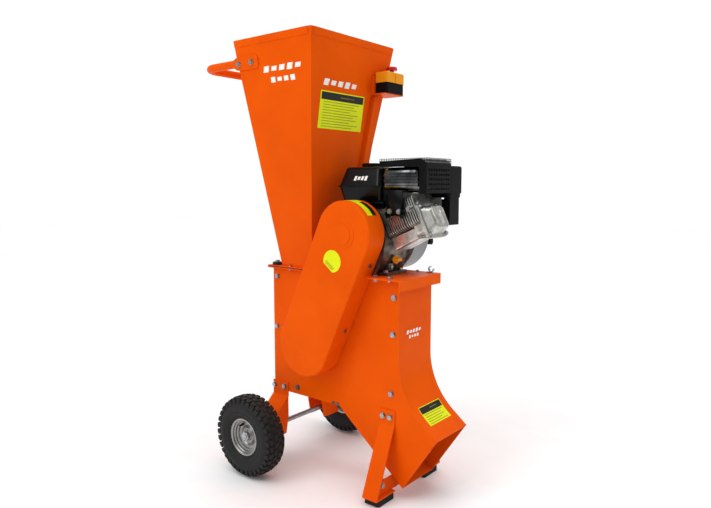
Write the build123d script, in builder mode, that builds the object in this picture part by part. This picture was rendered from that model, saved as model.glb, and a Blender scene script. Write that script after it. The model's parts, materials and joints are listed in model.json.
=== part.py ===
"""Petrol wood chipper: steel feed hopper, drum chipping case with a curved discharge chute, belt drive,
small four-stroke engine, two wheels on an axle and two front legs with rubber pads.

X points towards the discharge chute, Z up, and Y = 0 is the middle plane. The floor is Z = 0.
"""

from build123d import *
import math
import os

os.makedirs("parts", exist_ok=True)

# ---------------------------------------------------------------- driving sizes, millimetres
sheet = 3.0  # steel sheet of the chipping case
gap = 0.3  # clearance between pieces that move past each other

# chipping case and chute
case_rear_x = -205.0
case_length = 508.0
case_half_width = 82.0
case_floor_z = 234.0
case_top_z = 648.0
case_flange = 13.0  # top flange turned outwards
floor_length = 283.0
chute_bend_radius = 220.0
chute_bend_z = 415.0
chute_turn = 51.0  # degrees the front sheet turns through
chute_lip = 60.0  # straight length after the bend
outlet_bottom_x = 317.0
outlet_bottom_z = 37.0
front_flange = 32.0  # side flange of the front sheet
floor_flange = 30.0

# hopper
hopper_top_z = 1357.0
hopper_top_rear_x = -249.0
hopper_top_front_x = 77.0
hopper_top_half_width = 199.0
throat_rear_x = -161.0
throat_front_x = -31.0
throat_half_width = 72.0
hopper_sheet = 2.0
hopper_hem = 20.0
hem_notch = 12.0
gasket = 3.0
hopper_flange_rear_x = case_rear_x - case_flange
hopper_flange_front_x = -16.0

# engine platform
platform_sheet = 4.0
platform_rear_x = hopper_flange_front_x + 1.0
platform_front_x = 329.0
platform_ear_x = 210.0
platform_ear_y = -120.0
platform_far_y = 95.0
platform_lip = 31.0

# rotor and drive
rotor_x = -8.0
rotor_z = 424.0
drum_radius = 90.0
knife_radius = 100.0
drum_half_width = 70.0
shaft_radius = 12.5
running_fit = 0.05  # radial clearance of a shaft in its hole
crank_x = 152.0
crank_z = 765.0
crank_radius = 10.0
engine_pulley_radius = 48.0
rotor_pulley_radius = 72.0
belt_width = 11.0
belt_height = 8.0
belt_pitch = 16.0  # spacing of the two belts
belt_plane_y = -127.0
pulley_width = 36.0

# belt guard
guard_radius = 97.0
guard_face_y = -155.0
guard_sheet = 2.0
guard_rim = 40.0  # depth of the back plate's rim
guard_upper_z = crank_z + 9.0  # the cover's upper round end sits a little above the crankshaft

# wheels and axle
axle_x = -159.0
tyre_radius = 130.0
axle_z = tyre_radius  # the tyres stand on the floor
axle_radius = 8.0
tyre_width = 74.0
rim_radius = 57.0
track_half_width = 238.0  # middle of the tyre

# legs
leg_sheet = 4.0
rear_leg_width = 68.0
front_leg_width = 52.0
front_leg_x = 238.0
pad_height = 20.0
leg_foot_y = 168.0

# engine
cylinder_tilt = 25.0
tank_seam_z = 911.0
cover_plane = 214.0  # valve cover joint, from the crank centre


def finish(piece, name):
    """Labels a finished piece and writes its file."""
    piece.part.label = name
    export_step(piece.part, f"parts/{name}.step")


def gather(name, *pieces):
    """Writes several finished pieces as the separate solids of one node."""
    group = Compound([solid for piece in pieces for solid in piece.part.solids()])
    group.label = name
    export_step(group, f"parts/{name}.step")


def y_plane(x, y, z):
    """Plane whose sketch X is +X, sketch Y is +Z, and which extrudes towards -Y."""
    return Plane(origin=(x, y, z), x_dir=(1, 0, 0), z_dir=(0, -1, 0))


def swung_plane(x, y, z, angle):
    """Plane like y_plane, turned by an angle in degrees about its own normal."""
    swing = math.radians(angle)
    return Plane(origin=(x, y, z), x_dir=(math.cos(swing), 0, math.sin(swing)), z_dir=(0, -1, 0))


def block(x0, x1, y0, y1, z0, z1, mode=Mode.ADD):
    """Box between two corners, inside a part builder."""
    with BuildSketch(Plane.XY.offset(z0)) as outline:
        with Locations(((x0 + x1) / 2, (y0 + y1) / 2)):
            Rectangle(x1 - x0, y1 - y0)
    extrude(outline.sketch, amount=z1 - z0, mode=mode)


def disc(plane, radius, length, mode=Mode.ADD):
    """Round bar standing on a plane, inside a part builder."""
    with BuildSketch(plane) as outline:
        Circle(radius)
    extrude(outline.sketch, amount=length, mode=mode)


def hex_bolt(plane, size, under, mode=Mode.ADD):
    """Hexagon head standing on a plane, with a washer below it and a shank that runs back by `under`."""
    disc(plane, size * 1.1, size * 0.18, mode)
    with BuildSketch(plane.offset(size * 0.18)) as head:
        RegularPolygon(radius=size * 0.98, side_count=6)
    extrude(head.sketch, amount=size * 0.62, mode=mode)
    if under:
        disc(plane, size / 2, -under, mode)


# ---------------------------------------------------------------- front sheet and chute geometry
case_front_x = case_rear_x + case_length
floor_front_x = case_rear_x + floor_length
bend_x = case_front_x + chute_bend_radius
turn = math.radians(chute_turn)


def front_point(depth, angle):
    """Point of the front outline, `depth` inside its outer face, at an angle of the bend."""
    radius = chute_bend_radius + depth
    return (bend_x - radius * math.cos(angle), chute_bend_z - radius * math.sin(angle))


def lip_end(depth):
    """Lower end of the straight lip, `depth` inside its outer face."""
    start = front_point(depth, turn)
    return (start[0] + chute_lip * math.sin(turn), start[1] - chute_lip * math.cos(turn))


def lip_at(depth, z):
    """Point of the straight lip at a height."""
    start = front_point(depth, turn)
    return (start[0] + (start[1] - z) * math.tan(turn), z)


def front_band(depth):
    """Sketch of the band between the outer face of the front sheet and a depth inside it."""
    with BuildSketch(Plane.XZ, mode=Mode.PRIVATE) as band:
        with BuildLine():
            Line((case_front_x, case_top_z), (case_front_x, chute_bend_z))
            ThreePointArc(front_point(0, 0), front_point(0, turn / 2), front_point(0, turn))
            Line(front_point(0, turn), lip_end(0))
            Line(lip_end(0), lip_end(depth))
            Line(lip_end(depth), front_point(depth, turn))
            ThreePointArc(front_point(depth, turn), front_point(depth, turn / 2), front_point(depth, 0))
            Line(front_point(depth, 0), (case_front_x - depth, case_top_z))
            Line((case_front_x - depth, case_top_z), (case_front_x, case_top_z))
        make_face()
    return band.sketch


# ---------------------------------------------------------------- chipping case
near_bolt_holes = [(286, 596), (283, 489), (275, 312), (-186, 617), (-191, 449), (-100, 257)]
bolt_size = 8.0


def case_side(side):
    """Side plate of the case, with its top flange turned outwards."""
    seam_end = lip_at(sheet, case_floor_z)
    inner = case_half_width - sheet
    with BuildPart() as plate:
        with BuildSketch(y_plane(0, -inner, 0)):
            with BuildLine():
                Line((case_rear_x, case_floor_z), (case_rear_x, case_top_z))
                Line((case_rear_x, case_top_z), (case_front_x - sheet, case_top_z))
                Line((case_front_x - sheet, case_top_z), front_point(sheet, 0))
                ThreePointArc(front_point(sheet, 0), front_point(sheet, turn / 2), front_point(sheet, turn))
                Line(front_point(sheet, turn), seam_end)
                Line(seam_end, (case_rear_x, case_floor_z))
            make_face()
            with Locations((rotor_x, rotor_z)):
                Circle(bearing_radius + 4, mode=Mode.SUBTRACT)
        extrude(amount=sheet)
        outer = -case_half_width - case_flange
        top = (case_top_z - sheet, case_top_z)
        flange_front_x = case_front_x - front_flange
        if side < 0:
            block(case_rear_x, guard_notch[0], outer, -case_half_width, *top)
            block(guard_notch[1], flange_front_x, outer, -case_half_width, *top)
        else:
            block(case_rear_x, flange_front_x, outer, -case_half_width, *top)
        if side > 0:
            mirror(about=Plane.XZ, mode=Mode.REPLACE)
    return plate


def chute_side(side):
    """Side plate of the chute, below the seam."""
    with BuildPart() as plate:
        with BuildSketch(y_plane(0, -case_half_width + sheet, 0)):
            Polygon(
                (floor_front_x, case_floor_z),
                lip_at(sheet, case_floor_z),
                lip_end(sheet),
                (outlet_bottom_x, outlet_bottom_z),
                align=None,
            )
        extrude(amount=sheet)
        if side > 0:
            mirror(about=Plane.XZ, mode=Mode.REPLACE)
    return plate


bearing_radius = 26.0
guard_notch = (platform_rear_x, platform_ear_x - 2)

finish(case_side(-1), "case_right_plate")
finish(case_side(1), "case_left_plate")
gather("chute_side_plates", chute_side(-1), chute_side(1))

case_inner = case_half_width - sheet
with BuildPart() as rear_plate:
    block(case_rear_x, case_rear_x + sheet, -case_inner, case_inner, case_floor_z + sheet, case_top_z - sheet)

with BuildPart() as roof_plate:
    block(
        case_rear_x, case_front_x - sheet, -case_inner, case_inner, case_top_z - sheet, case_top_z
    )
    block(case_rear_x - case_flange, case_rear_x, -case_half_width - case_flange,
          case_half_width + case_flange, case_top_z - sheet, case_top_z)
    block(
        throat_rear_x, throat_front_x, -throat_half_width, throat_half_width, case_top_z - sheet,
        case_top_z, Mode.SUBTRACT,
    )
finish(roof_plate, "case_roof_plate")

with BuildPart() as floor_plate:
    block(case_rear_x, floor_front_x, -case_inner, case_inner, case_floor_z, case_floor_z + sheet)
    for side in (-1, 1):
        flange_y = sorted((side * case_inner, side * (case_inner - sheet)))
        block(case_rear_x + sheet, floor_front_x, *flange_y, case_floor_z, case_floor_z + floor_flange)

with BuildPart() as front_sheet:
    with BuildSketch(Plane.XZ.offset(-case_half_width - sheet)):
        add(front_band(sheet))
    extrude(amount=2 * (case_half_width + sheet))
    for y in (case_half_width + sheet, -case_half_width):
        with BuildSketch(Plane.XZ.offset(-y)):
            add(front_band(front_flange))
        extrude(amount=sheet)
finish(front_sheet, "chute_front_sheet")

bottom_run = (outlet_bottom_x - floor_front_x, outlet_bottom_z - case_floor_z)
bottom_length = math.hypot(*bottom_run)
bottom_normal = (-bottom_run[1] / bottom_length, bottom_run[0] / bottom_length)
with BuildPart() as bottom_sheet:
    with BuildSketch(y_plane(0, case_inner, 0)):
        Polygon(
            (floor_front_x, case_floor_z),
            (outlet_bottom_x, outlet_bottom_z),
            (outlet_bottom_x + sheet * bottom_normal[0], outlet_bottom_z + sheet * bottom_normal[1]),
            (floor_front_x, case_floor_z + sheet / bottom_normal[1]),
            align=None,
        )
    extrude(amount=2 * case_inner)

with BuildPart() as case_bottom:
    for run in (rear_plate, floor_plate, bottom_sheet):
        add(run.part)
finish(case_bottom, "case_bottom_sheet")

# ---------------------------------------------------------------- case bolts
with BuildPart() as case_bolts:
    for x, z in near_bolt_holes:
        on_flange = x > case_front_x - front_flange and z > chute_bend_z
        face = case_half_width + (sheet if on_flange else 0)
        hex_bolt(y_plane(x, -face, z), bolt_size, 0)
        hex_bolt(Plane(origin=(x, face, z), x_dir=(1, 0, 0), z_dir=(0, 1, 0)), bolt_size, 0)
    for x in (floor_front_x - 23, floor_front_x - 5):
        for side in (-1, 1):
            place = (x, side * case_half_width, case_floor_z + 4)
            hex_bolt(Plane(origin=place, x_dir=(1, 0, 0), z_dir=(0, side, 0)), 5.0, 0)

# ---------------------------------------------------------------- hopper
hopper_base_z = case_top_z + gasket
hopper_height = hopper_top_z - hopper_base_z
hopper_base_half = throat_half_width + hopper_sheet + 10


def hopper_section(z, inset):
    """Lowest and highest X and the half width of the hopper at a height, `inset` inside its outer face."""
    share = (z - hopper_base_z) / hopper_height
    low = throat_rear_x + (hopper_top_rear_x - throat_rear_x) * share + inset
    high = throat_front_x + (hopper_top_front_x - throat_front_x) * share - inset
    half = hopper_base_half + (hopper_top_half_width - hopper_base_half) * share - inset
    return low, high, half


def hopper_solid(z0, z1, inset, mode=Mode.ADD):
    """Tapered block with the hopper's outline between two heights."""
    sections = []
    for z in (z0, z1):
        low, high, half = hopper_section(z, inset)
        with BuildSketch(Plane.XY.offset(z)) as section:
            with Locations(((low + high) / 2, 0)):
                Rectangle(high - low, 2 * half)
        sections.append(section.sketch)
    loft(sections, mode=mode)


with BuildPart() as hem_ring:
    hopper_solid(hopper_top_z - hopper_hem, hopper_top_z, -hopper_sheet)
    for x in (hopper_top_rear_x, hopper_top_front_x):
        for side in (-1, 1):
            with BuildSketch(Plane.XY.offset(hopper_top_z - 2 * hopper_hem)):
                with Locations((x, side * hopper_top_half_width)):
                    Rectangle(2 * hem_notch, 2 * hem_notch)
            extrude(amount=3 * hopper_hem, mode=Mode.SUBTRACT)

with BuildPart() as hopper:
    hopper_solid(hopper_base_z, hopper_top_z, 0)
    add(hem_ring.part)
    block(hopper_flange_rear_x, hopper_flange_front_x, -case_half_width - case_flange,
          case_half_width + case_flange, hopper_base_z, hopper_base_z + sheet)
    hopper_solid(hopper_base_z - 1, hopper_top_z + 1, hopper_sheet, Mode.SUBTRACT)
finish(hopper, "hopper")

with BuildPart() as base_gasket:
    block(hopper_flange_rear_x, hopper_flange_front_x, -case_half_width - case_flange,
          case_half_width + case_flange, case_top_z, hopper_base_z)
    block(throat_rear_x, throat_front_x, -hopper_base_half + hopper_sheet, hopper_base_half - hopper_sheet,
          case_top_z, hopper_base_z, Mode.SUBTRACT)

flange_bolts = [(-190, -78), (-190, 78)]
edge_bolts = [(x, side * (case_half_width + 8)) for x in (-120, -50) for side in (-1, 1)]
edge_bolt_size = 4.5
with BuildPart() as hopper_washers:
    for x, y in flange_bolts:
        disc(Plane(origin=(x, y, hopper_base_z + sheet)), 16, 9)
gather("hopper_gasket", base_gasket, hopper_washers)

with BuildPart() as hopper_bolts:
    for x, y in flange_bolts:
        hex_bolt(Plane(origin=(x, y, hopper_base_z + sheet + 9)), bolt_size, 0)
    for x, y in edge_bolts:
        hex_bolt(Plane(origin=(x, y, hopper_base_z + sheet)), edge_bolt_size, 0)
        hex_bolt(Plane(origin=(x, y, case_top_z - sheet), z_dir=(0, 0, -1)), edge_bolt_size, 0)

# ---------------------------------------------------------------- push handle
handle_radius = 12.5
handle_rear_x = -431.1
handle_z = 1292.0
handle_corner = 50.0
handle_half_width = 178.0
handle_plate = (104.0, 39.0, 4.0)  # length, height and thickness of the flattened end
handle_plate_x = -200.0
wall_lean = math.degrees(math.atan2(hopper_top_half_width - hopper_base_half, hopper_height))


def wall_plane(side, x, z, lift=0.0):
    """Plane lying on the hopper's side wall, its Z outwards."""
    half = hopper_section(z, 0)[2]
    lean = math.radians(wall_lean)
    normal = (0, side * math.cos(lean), -math.sin(lean))
    origin = (x, side * half + lift * normal[1], z + lift * normal[2])
    return Plane(origin=origin, x_dir=(1, 0, 0), z_dir=normal)


plate_length, plate_height, plate_thick = handle_plate
plate_rear_x = handle_plate_x - plate_length / 2
tube_end_x = plate_rear_x - 20
handle_holes = (-33.0, 24.0)
with BuildPart() as handle:
    with BuildLine() as route:
        FilletPolyline(
            (tube_end_x, -handle_half_width, handle_z),
            (handle_rear_x + handle_radius, -handle_half_width, handle_z),
            (handle_rear_x + handle_radius, handle_half_width, handle_z),
            (tube_end_x, handle_half_width, handle_z),
            radius=handle_corner,
        )
    with BuildSketch(Plane(origin=route.line @ 0, z_dir=route.line % 0)) as ring:
        Circle(handle_radius)
    sweep(ring.sketch, route.line)
    for side in (-1, 1):
        flat = wall_plane(side, handle_plate_x, handle_z - 4)
        with BuildSketch(flat) as pad:
            RectangleRounded(plate_length, plate_height, 12)
        extrude(pad.sketch, amount=plate_thick)
        tube_end = Plane(origin=(tube_end_x, side * handle_half_width, handle_z), z_dir=(1, 0, 0))
        with BuildSketch(tube_end) as round_end:
            Circle(handle_radius)
        root = wall_plane(side, plate_rear_x + 6, handle_z - 4, plate_thick / 2)
        flat_end = Plane(origin=root.origin, x_dir=root.y_dir, z_dir=(1, 0, 0))
        with BuildSketch(flat_end) as flat_section:
            Rectangle(plate_height - 4, plate_thick)
        loft([round_end.sketch, flat_section.sketch])
        with BuildSketch(flat) as bolt_holes:
            with Locations(*[(along, 0) for along in handle_holes]):
                Circle(bolt_size / 2 + gap)
        extrude(bolt_holes.sketch, amount=plate_thick, mode=Mode.SUBTRACT)
finish(handle, "handle_bar")

with BuildPart() as handle_bolts:
    for side in (-1, 1):
        for along in handle_holes:
            seat = wall_plane(side, handle_plate_x + along, handle_z - 4, plate_thick)
            hex_bolt(seat, bolt_size, 0)
            disc(seat, bolt_size / 2, -plate_thick)

# ---------------------------------------------------------------- stop switch and cable duct
switch_y = 153.0
switch_length = 94.0
switch_depth = 50.0
switch_base_z = 1204.0
switch_split_z = 1237.0
switch_top_z = 1270.0
switch_back_x = 70.0
button_radius = 18.0
button_y = switch_y + 10.0
button_stem = 7.0
button_travel = 5.0
duct_width = 30.0
duct_depth = 14.0
duct_top_y = 128.0
duct_bottom_y = 83.0
duct_bottom_z = 700.0


def front_wall_plane(y, z):
    """Plane lying on the hopper's front wall, its X along +Y and its Z outwards."""
    lean = math.atan2(hopper_top_front_x - throat_front_x, hopper_height)
    normal = (math.cos(lean), 0, -math.sin(lean))
    return Plane(origin=(hopper_section(z, 0)[1], y, z), x_dir=(0, 1, 0), z_dir=normal)


switch_front_x = switch_back_x + switch_depth
tray_z = switch_base_z - 3
with BuildPart() as switch_bracket:
    y0, y1 = switch_y - switch_length / 2 - 3, switch_y + switch_length / 2 + 3
    block(switch_back_x - 30, switch_front_x - 6, y0, y1, tray_z, switch_base_z)
    block(switch_back_x - 30, switch_back_x - gap, y0, y1, switch_base_z, switch_top_z - 12)
    hopper_solid(hopper_base_z - 1, hopper_top_z + 1, 0, Mode.SUBTRACT)
finish(switch_bracket, "switch_bracket")

stem_clear = button_stem + gap
with BuildPart() as switch_base:
    with BuildSketch(Plane.XY.offset(switch_base_z)) as outline:
        with Locations((switch_back_x + switch_depth / 2, switch_y)):
            RectangleRounded(switch_depth - 4, switch_length - 4, 5)
    extrude(outline.sketch, amount=switch_split_z - switch_base_z)
finish(switch_base, "switch_base")

with BuildPart() as switch_cover:
    with BuildSketch(Plane.XY.offset(switch_split_z)) as outline:
        with Locations((switch_back_x + switch_depth / 2, switch_y)):
            RectangleRounded(switch_depth, switch_length, 7)
    extrude(outline.sketch, amount=switch_top_z - switch_split_z)
    fillet(switch_cover.edges().group_by(Axis.Z)[-1], 4)
    block(switch_front_x - 1, switch_front_x + 3, switch_y - 4, switch_y + 4, switch_split_z + 1,
          switch_top_z - 6)
    stem_hole = Plane(origin=(switch_back_x + switch_depth / 2, button_y, switch_top_z - 14))
    disc(stem_hole, stem_clear, 14, Mode.SUBTRACT)
finish(switch_cover, "switch_cover")

with BuildPart() as stop_button:
    middle = (switch_back_x + switch_depth / 2, button_y)
    disc(Plane(origin=(*middle, switch_top_z + button_travel + 4)), button_radius, 12)
    fillet(stop_button.edges().group_by(Axis.Z)[-1], 5)
    fillet(stop_button.edges().group_by(Axis.Z)[0], 2)
    disc(Plane(origin=(*middle, switch_top_z - 8)), button_stem, 8 + button_travel + 4)
finish(stop_button, "stop_button")

with BuildPart() as cable_duct:
    wall = front_wall_plane(duct_bottom_y, duct_bottom_z)
    run = front_wall_plane(duct_top_y, tray_z - 6).origin - wall.origin
    along_wall = Plane(origin=wall.origin, x_dir=run.cross(wall.z_dir), z_dir=wall.z_dir)
    with BuildSketch(along_wall) as outline:
        with Locations((0, run.length / 2)):
            Rectangle(duct_width, run.length)
    extrude(outline.sketch, amount=duct_depth)
    with BuildSketch(along_wall) as channel:
        with Locations((0, run.length / 2)):
            Rectangle(duct_width - 2 * hopper_sheet, run.length)
    extrude(channel.sketch, amount=duct_depth - hopper_sheet, mode=Mode.SUBTRACT)
finish(cable_duct, "cable_duct")

# ---------------------------------------------------------------- engine platform
platform_top_z = case_top_z + platform_sheet
engine_bolt_pitch_x = 162.0
engine_bolt_pitch_y = 75.5
engine_bolt_y = -20.0
engine_base_x = crank_x + 3
ear_bolts = [(platform_ear_x + 16, -95.0), (platform_ear_x + 72, -99.0)]
engine_bolts_xy = [
    (engine_base_x + sx * engine_bolt_pitch_x / 2, engine_bolt_y + sy * engine_bolt_pitch_y / 2)
    for sx in (-1, 1) for sy in (-1, 1)
]
with BuildPart() as platform:
    block(platform_rear_x, platform_front_x, -case_half_width, platform_far_y, case_top_z, platform_top_z)
    block(platform_ear_x, platform_front_x, platform_ear_y, -case_half_width, case_top_z, platform_top_z)
    block(platform_front_x - platform_sheet, platform_front_x, platform_ear_y, platform_far_y,
          platform_top_z - platform_lip, platform_top_z)
finish(platform, "engine_platform")

with BuildPart() as platform_bolts:
    for x, y in ear_bolts:
        hex_bolt(Plane(origin=(x, y, platform_top_z)), bolt_size, 0)
        hex_bolt(Plane(origin=(x, y, case_top_z - (sheet if x < 271 else 0)), z_dir=(0, 0, -1)), bolt_size, 0)
    for x in (40, platform_ear_x + 40):
        hex_bolt(Plane(origin=(x, case_half_width + 7, platform_top_z)), edge_bolt_size, 0)
        under = Plane(origin=(x, case_half_width + 7, case_top_z - sheet), z_dir=(0, 0, -1))
        hex_bolt(under, edge_bolt_size, 0)

with BuildPart() as cable_clip:
    block(286, 300, 82, 94, platform_top_z, platform_top_z + 2)
    hook = Plane(origin=(300, 88, platform_top_z + 10), x_dir=(1, 0, 0), z_dir=(0, -1, 0))
    with BuildSketch(hook.offset(-4)) as loop:
        Circle(9)
        Circle(7, mode=Mode.SUBTRACT)
        with Locations((6, 6)):
            Rectangle(10, 8, mode=Mode.SUBTRACT)
    extrude(loop.sketch, amount=8)

# ---------------------------------------------------------------- belt guard
guard_back_y = -case_half_width


def guard_block(radius, y_near, y_far, mode=Mode.ADD):
    """Solid of the belt outline between two values of Y."""
    with BuildSketch(Plane.XZ.offset(-y_far)) as outline:
        with Locations((crank_x, guard_upper_z), (rotor_x, rotor_z)):
            Circle(radius)
        make_hull()
    extrude(outline.sketch, amount=y_far - y_near, mode=mode)


rim_radius_guard = guard_radius - guard_sheet - gap
bearing_clear = 62.0
crank_clear = 30.0
with BuildPart() as guard_back:
    guard_block(rim_radius_guard, guard_back_y - guard_rim, guard_back_y)
    guard_block(rim_radius_guard - guard_sheet, guard_back_y - guard_rim, guard_back_y - guard_sheet,
                Mode.SUBTRACT)
    disc(y_plane(rotor_x, guard_back_y, rotor_z), bearing_clear, guard_sheet, Mode.SUBTRACT)
    disc(y_plane(crank_x, guard_back_y, crank_z), crank_clear, guard_sheet, Mode.SUBTRACT)
finish(guard_back, "belt_guard_back")

with BuildPart() as guard_cover:
    guard_block(guard_radius, guard_face_y, guard_back_y - guard_sheet)
    fillet(guard_cover.faces().sort_by(Axis.Y)[0].edges(), 5)
    disc(y_plane(crank_x, guard_face_y, guard_upper_z), 30, 3)
    disc(y_plane(crank_x, guard_face_y, guard_upper_z), 42, 1.2)
    guard_block(guard_radius - guard_sheet, guard_face_y + guard_sheet, guard_back_y - guard_sheet,
                Mode.SUBTRACT)
finish(guard_cover, "belt_cover")

guard_angle = math.atan2(guard_upper_z - rotor_z, crank_x - rotor_x)
guard_span = math.hypot(crank_x - rotor_x, guard_upper_z - rotor_z)
screw_y = -112.0
with BuildPart() as guard_screws:
    for side, share in ((-1, 0.28), (-1, 0.86), (1, 0.35), (1, 0.8)):
        x = rotor_x + guard_span * share * math.cos(guard_angle)
        z = rotor_z + guard_span * share * math.sin(guard_angle)
        out = (-side * math.sin(guard_angle), 0, side * math.cos(guard_angle))
        seat = (x + out[0] * guard_radius, screw_y, z + out[2] * guard_radius)
        hex_bolt(Plane(origin=seat, x_dir=(0, 1, 0), z_dir=out), 6.0, 0)

# ---------------------------------------------------------------- rotor
shaft_half = 104.0
shaft_near = 150.0
flat_depth = 72.0  # of the seats for the knives, from the shaft
knife_thick = 8.0
knife_tip = 60.0
with BuildPart() as rotor:
    disc(y_plane(rotor_x, drum_half_width, rotor_z), drum_radius, 2 * drum_half_width)
    for turn_angle in (0, 180):
        seat = swung_plane(rotor_x, drum_half_width, rotor_z, turn_angle)
        with BuildSketch(seat) as flat:
            with Locations((0, flat_depth + 20)):
                Rectangle(2 * drum_radius, 40)
        extrude(flat.sketch, amount=2 * drum_half_width, mode=Mode.SUBTRACT)
    disc(y_plane(rotor_x, shaft_half, rotor_z), shaft_radius, shaft_half + shaft_near)
finish(rotor, "rotor_drum")

with BuildPart() as knives:
    for turn_angle in (0, 180):
        seat = swung_plane(rotor_x, drum_half_width, rotor_z, turn_angle)
        with BuildSketch(seat) as edge:
            Polygon((-20, flat_depth), (52, flat_depth), (knife_tip, flat_depth + knife_thick),
                    (-20, flat_depth + knife_thick), align=None)
        extrude(edge.sketch, amount=2 * drum_half_width)

with BuildPart() as knife_bolts:
    for turn_angle, way in ((0, 1), (180, -1)):
        for y in (-45, 0, 45):
            top = rotor_z + way * (flat_depth + knife_thick)
            disc(Plane(origin=(rotor_x, y, top), z_dir=(0, 0, way)), 8, 7)
gather("chipping_knives", knives, knife_bolts)

with BuildPart() as anvil:
    anvil_x = rotor_x - knife_radius - 3
    block(anvil_x - 40, anvil_x, -case_inner, case_inner, rotor_z - 12, rotor_z)
with BuildPart() as anvil_seat:
    seat_x = case_rear_x + sheet
    block(seat_x, anvil_x - 5, -case_inner, case_inner, rotor_z - 18, rotor_z - 12)
    block(seat_x, seat_x + 6, -case_inner, case_inner, rotor_z - 60, rotor_z - 18)
gather("anvil_bar", anvil, anvil_seat)

housing_flange = 12.0
housing_boss = 25.0
with BuildPart() as housings:
    for side in (-1, 1):
        seat = Plane(origin=(rotor_x, side * case_half_width, rotor_z), x_dir=(1, 0, 0), z_dir=(0, side, 0))
        with BuildSketch(seat) as foot:
            RectangleRounded(84, 84, 16)
            Circle(bearing_radius, mode=Mode.SUBTRACT)
        extrude(foot.sketch, amount=housing_flange)
        with BuildSketch(seat) as boss:
            Circle(bearing_radius + 8)
            Circle(bearing_radius, mode=Mode.SUBTRACT)
        extrude(boss.sketch, amount=housing_boss)

with BuildPart() as bearings:
    for side in (-1, 1):
        place = (rotor_x, side * (case_half_width + 6), rotor_z)
        with BuildSketch(Plane(origin=place, x_dir=(1, 0, 0), z_dir=(0, side, 0))) as race:
            Circle(bearing_radius)
            Circle(shaft_radius + running_fit, mode=Mode.SUBTRACT)
        extrude(race.sketch, amount=16)
gather("rotor_bearings", housings, bearings)

with BuildPart() as housing_bolts:
    for side in (-1, 1):
        for dx in (-31, 31):
            for dz in (-31, 31):
                seat = Plane(
                    origin=(rotor_x + dx, side * (case_half_width + housing_flange), rotor_z + dz),
                    x_dir=(1, 0, 0), z_dir=(0, side, 0),
                )
                hex_bolt(seat, 8.0, 0)

# ---------------------------------------------------------------- pulleys and belts
belt_rows = [belt_plane_y + way * belt_pitch / 2 for way in (1, -1)]
pulley_y0 = belt_plane_y + pulley_width / 2


def pulley(x, z, radius, bore):
    """Grooved pulley about an axis along Y."""
    with BuildPart() as wheel:
        with BuildSketch(y_plane(x, pulley_y0, z)) as body:
            Circle(radius)
            Circle(bore, mode=Mode.SUBTRACT)
        extrude(body.sketch, amount=pulley_width)
        for row in belt_rows:
            with BuildSketch(y_plane(x, row + belt_width / 2 + gap, z)) as groove:
                Circle(radius + 1)
                Circle(radius - belt_height - 1, mode=Mode.SUBTRACT)
            extrude(groove.sketch, amount=belt_width + 2 * gap, mode=Mode.SUBTRACT)
    return wheel


engine_pulley = pulley(crank_x, crank_z, engine_pulley_radius, crank_radius)
finish(engine_pulley, "engine_pulley")
rotor_pulley = pulley(rotor_x, rotor_z, rotor_pulley_radius, shaft_radius)
finish(rotor_pulley, "rotor_pulley")

with BuildPart() as belts:
    for row in belt_rows:
        with BuildSketch(Plane.XZ.offset(-row - belt_width / 2)) as loop:
            for grow, mode in ((0.5, Mode.ADD), (gap - belt_height - 0.5, Mode.SUBTRACT)):
                with BuildSketch(mode=Mode.PRIVATE) as hull:
                    with Locations((crank_x, crank_z)):
                        Circle(engine_pulley_radius + grow)
                    with Locations((rotor_x, rotor_z)):
                        Circle(rotor_pulley_radius + grow)
                    make_hull()
                add(hull.sketch, mode=mode)
        extrude(loop.sketch, amount=belt_width)
finish(belts, "drive_belts")

# ---------------------------------------------------------------- axle, wheels and tyres
hub_reach = 14.0  # the hub ends this far outside the middle of the tyre
hub_far = track_half_width + hub_reach
wheel_nut = 8.0
with BuildPart() as axle:
    disc(y_plane(axle_x, hub_far + wheel_nut + 2, axle_z), axle_radius, 2 * (hub_far + wheel_nut + 2))
finish(axle, "axle")


def outward(side, y, x=axle_x, z=axle_z):
    """Plane facing away from the machine's middle on one side."""
    return Plane(origin=(x, side * y, z), x_dir=(1, 0, 0), z_dir=(0, side, 0))


def turned(side, outline):
    """Ring turned about the axle from points (radius, distance from the middle of the tyre)."""
    middle = (axle_x, side * track_half_width, axle_z)
    with BuildSketch(Plane(origin=middle, x_dir=(1, 0, 0), z_dir=(0, 0, side))) as half:
        Polygon(*outline, align=None)
    revolve(half.sketch, axis=Axis((axle_x, 0, axle_z), (0, 1, 0)))


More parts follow.
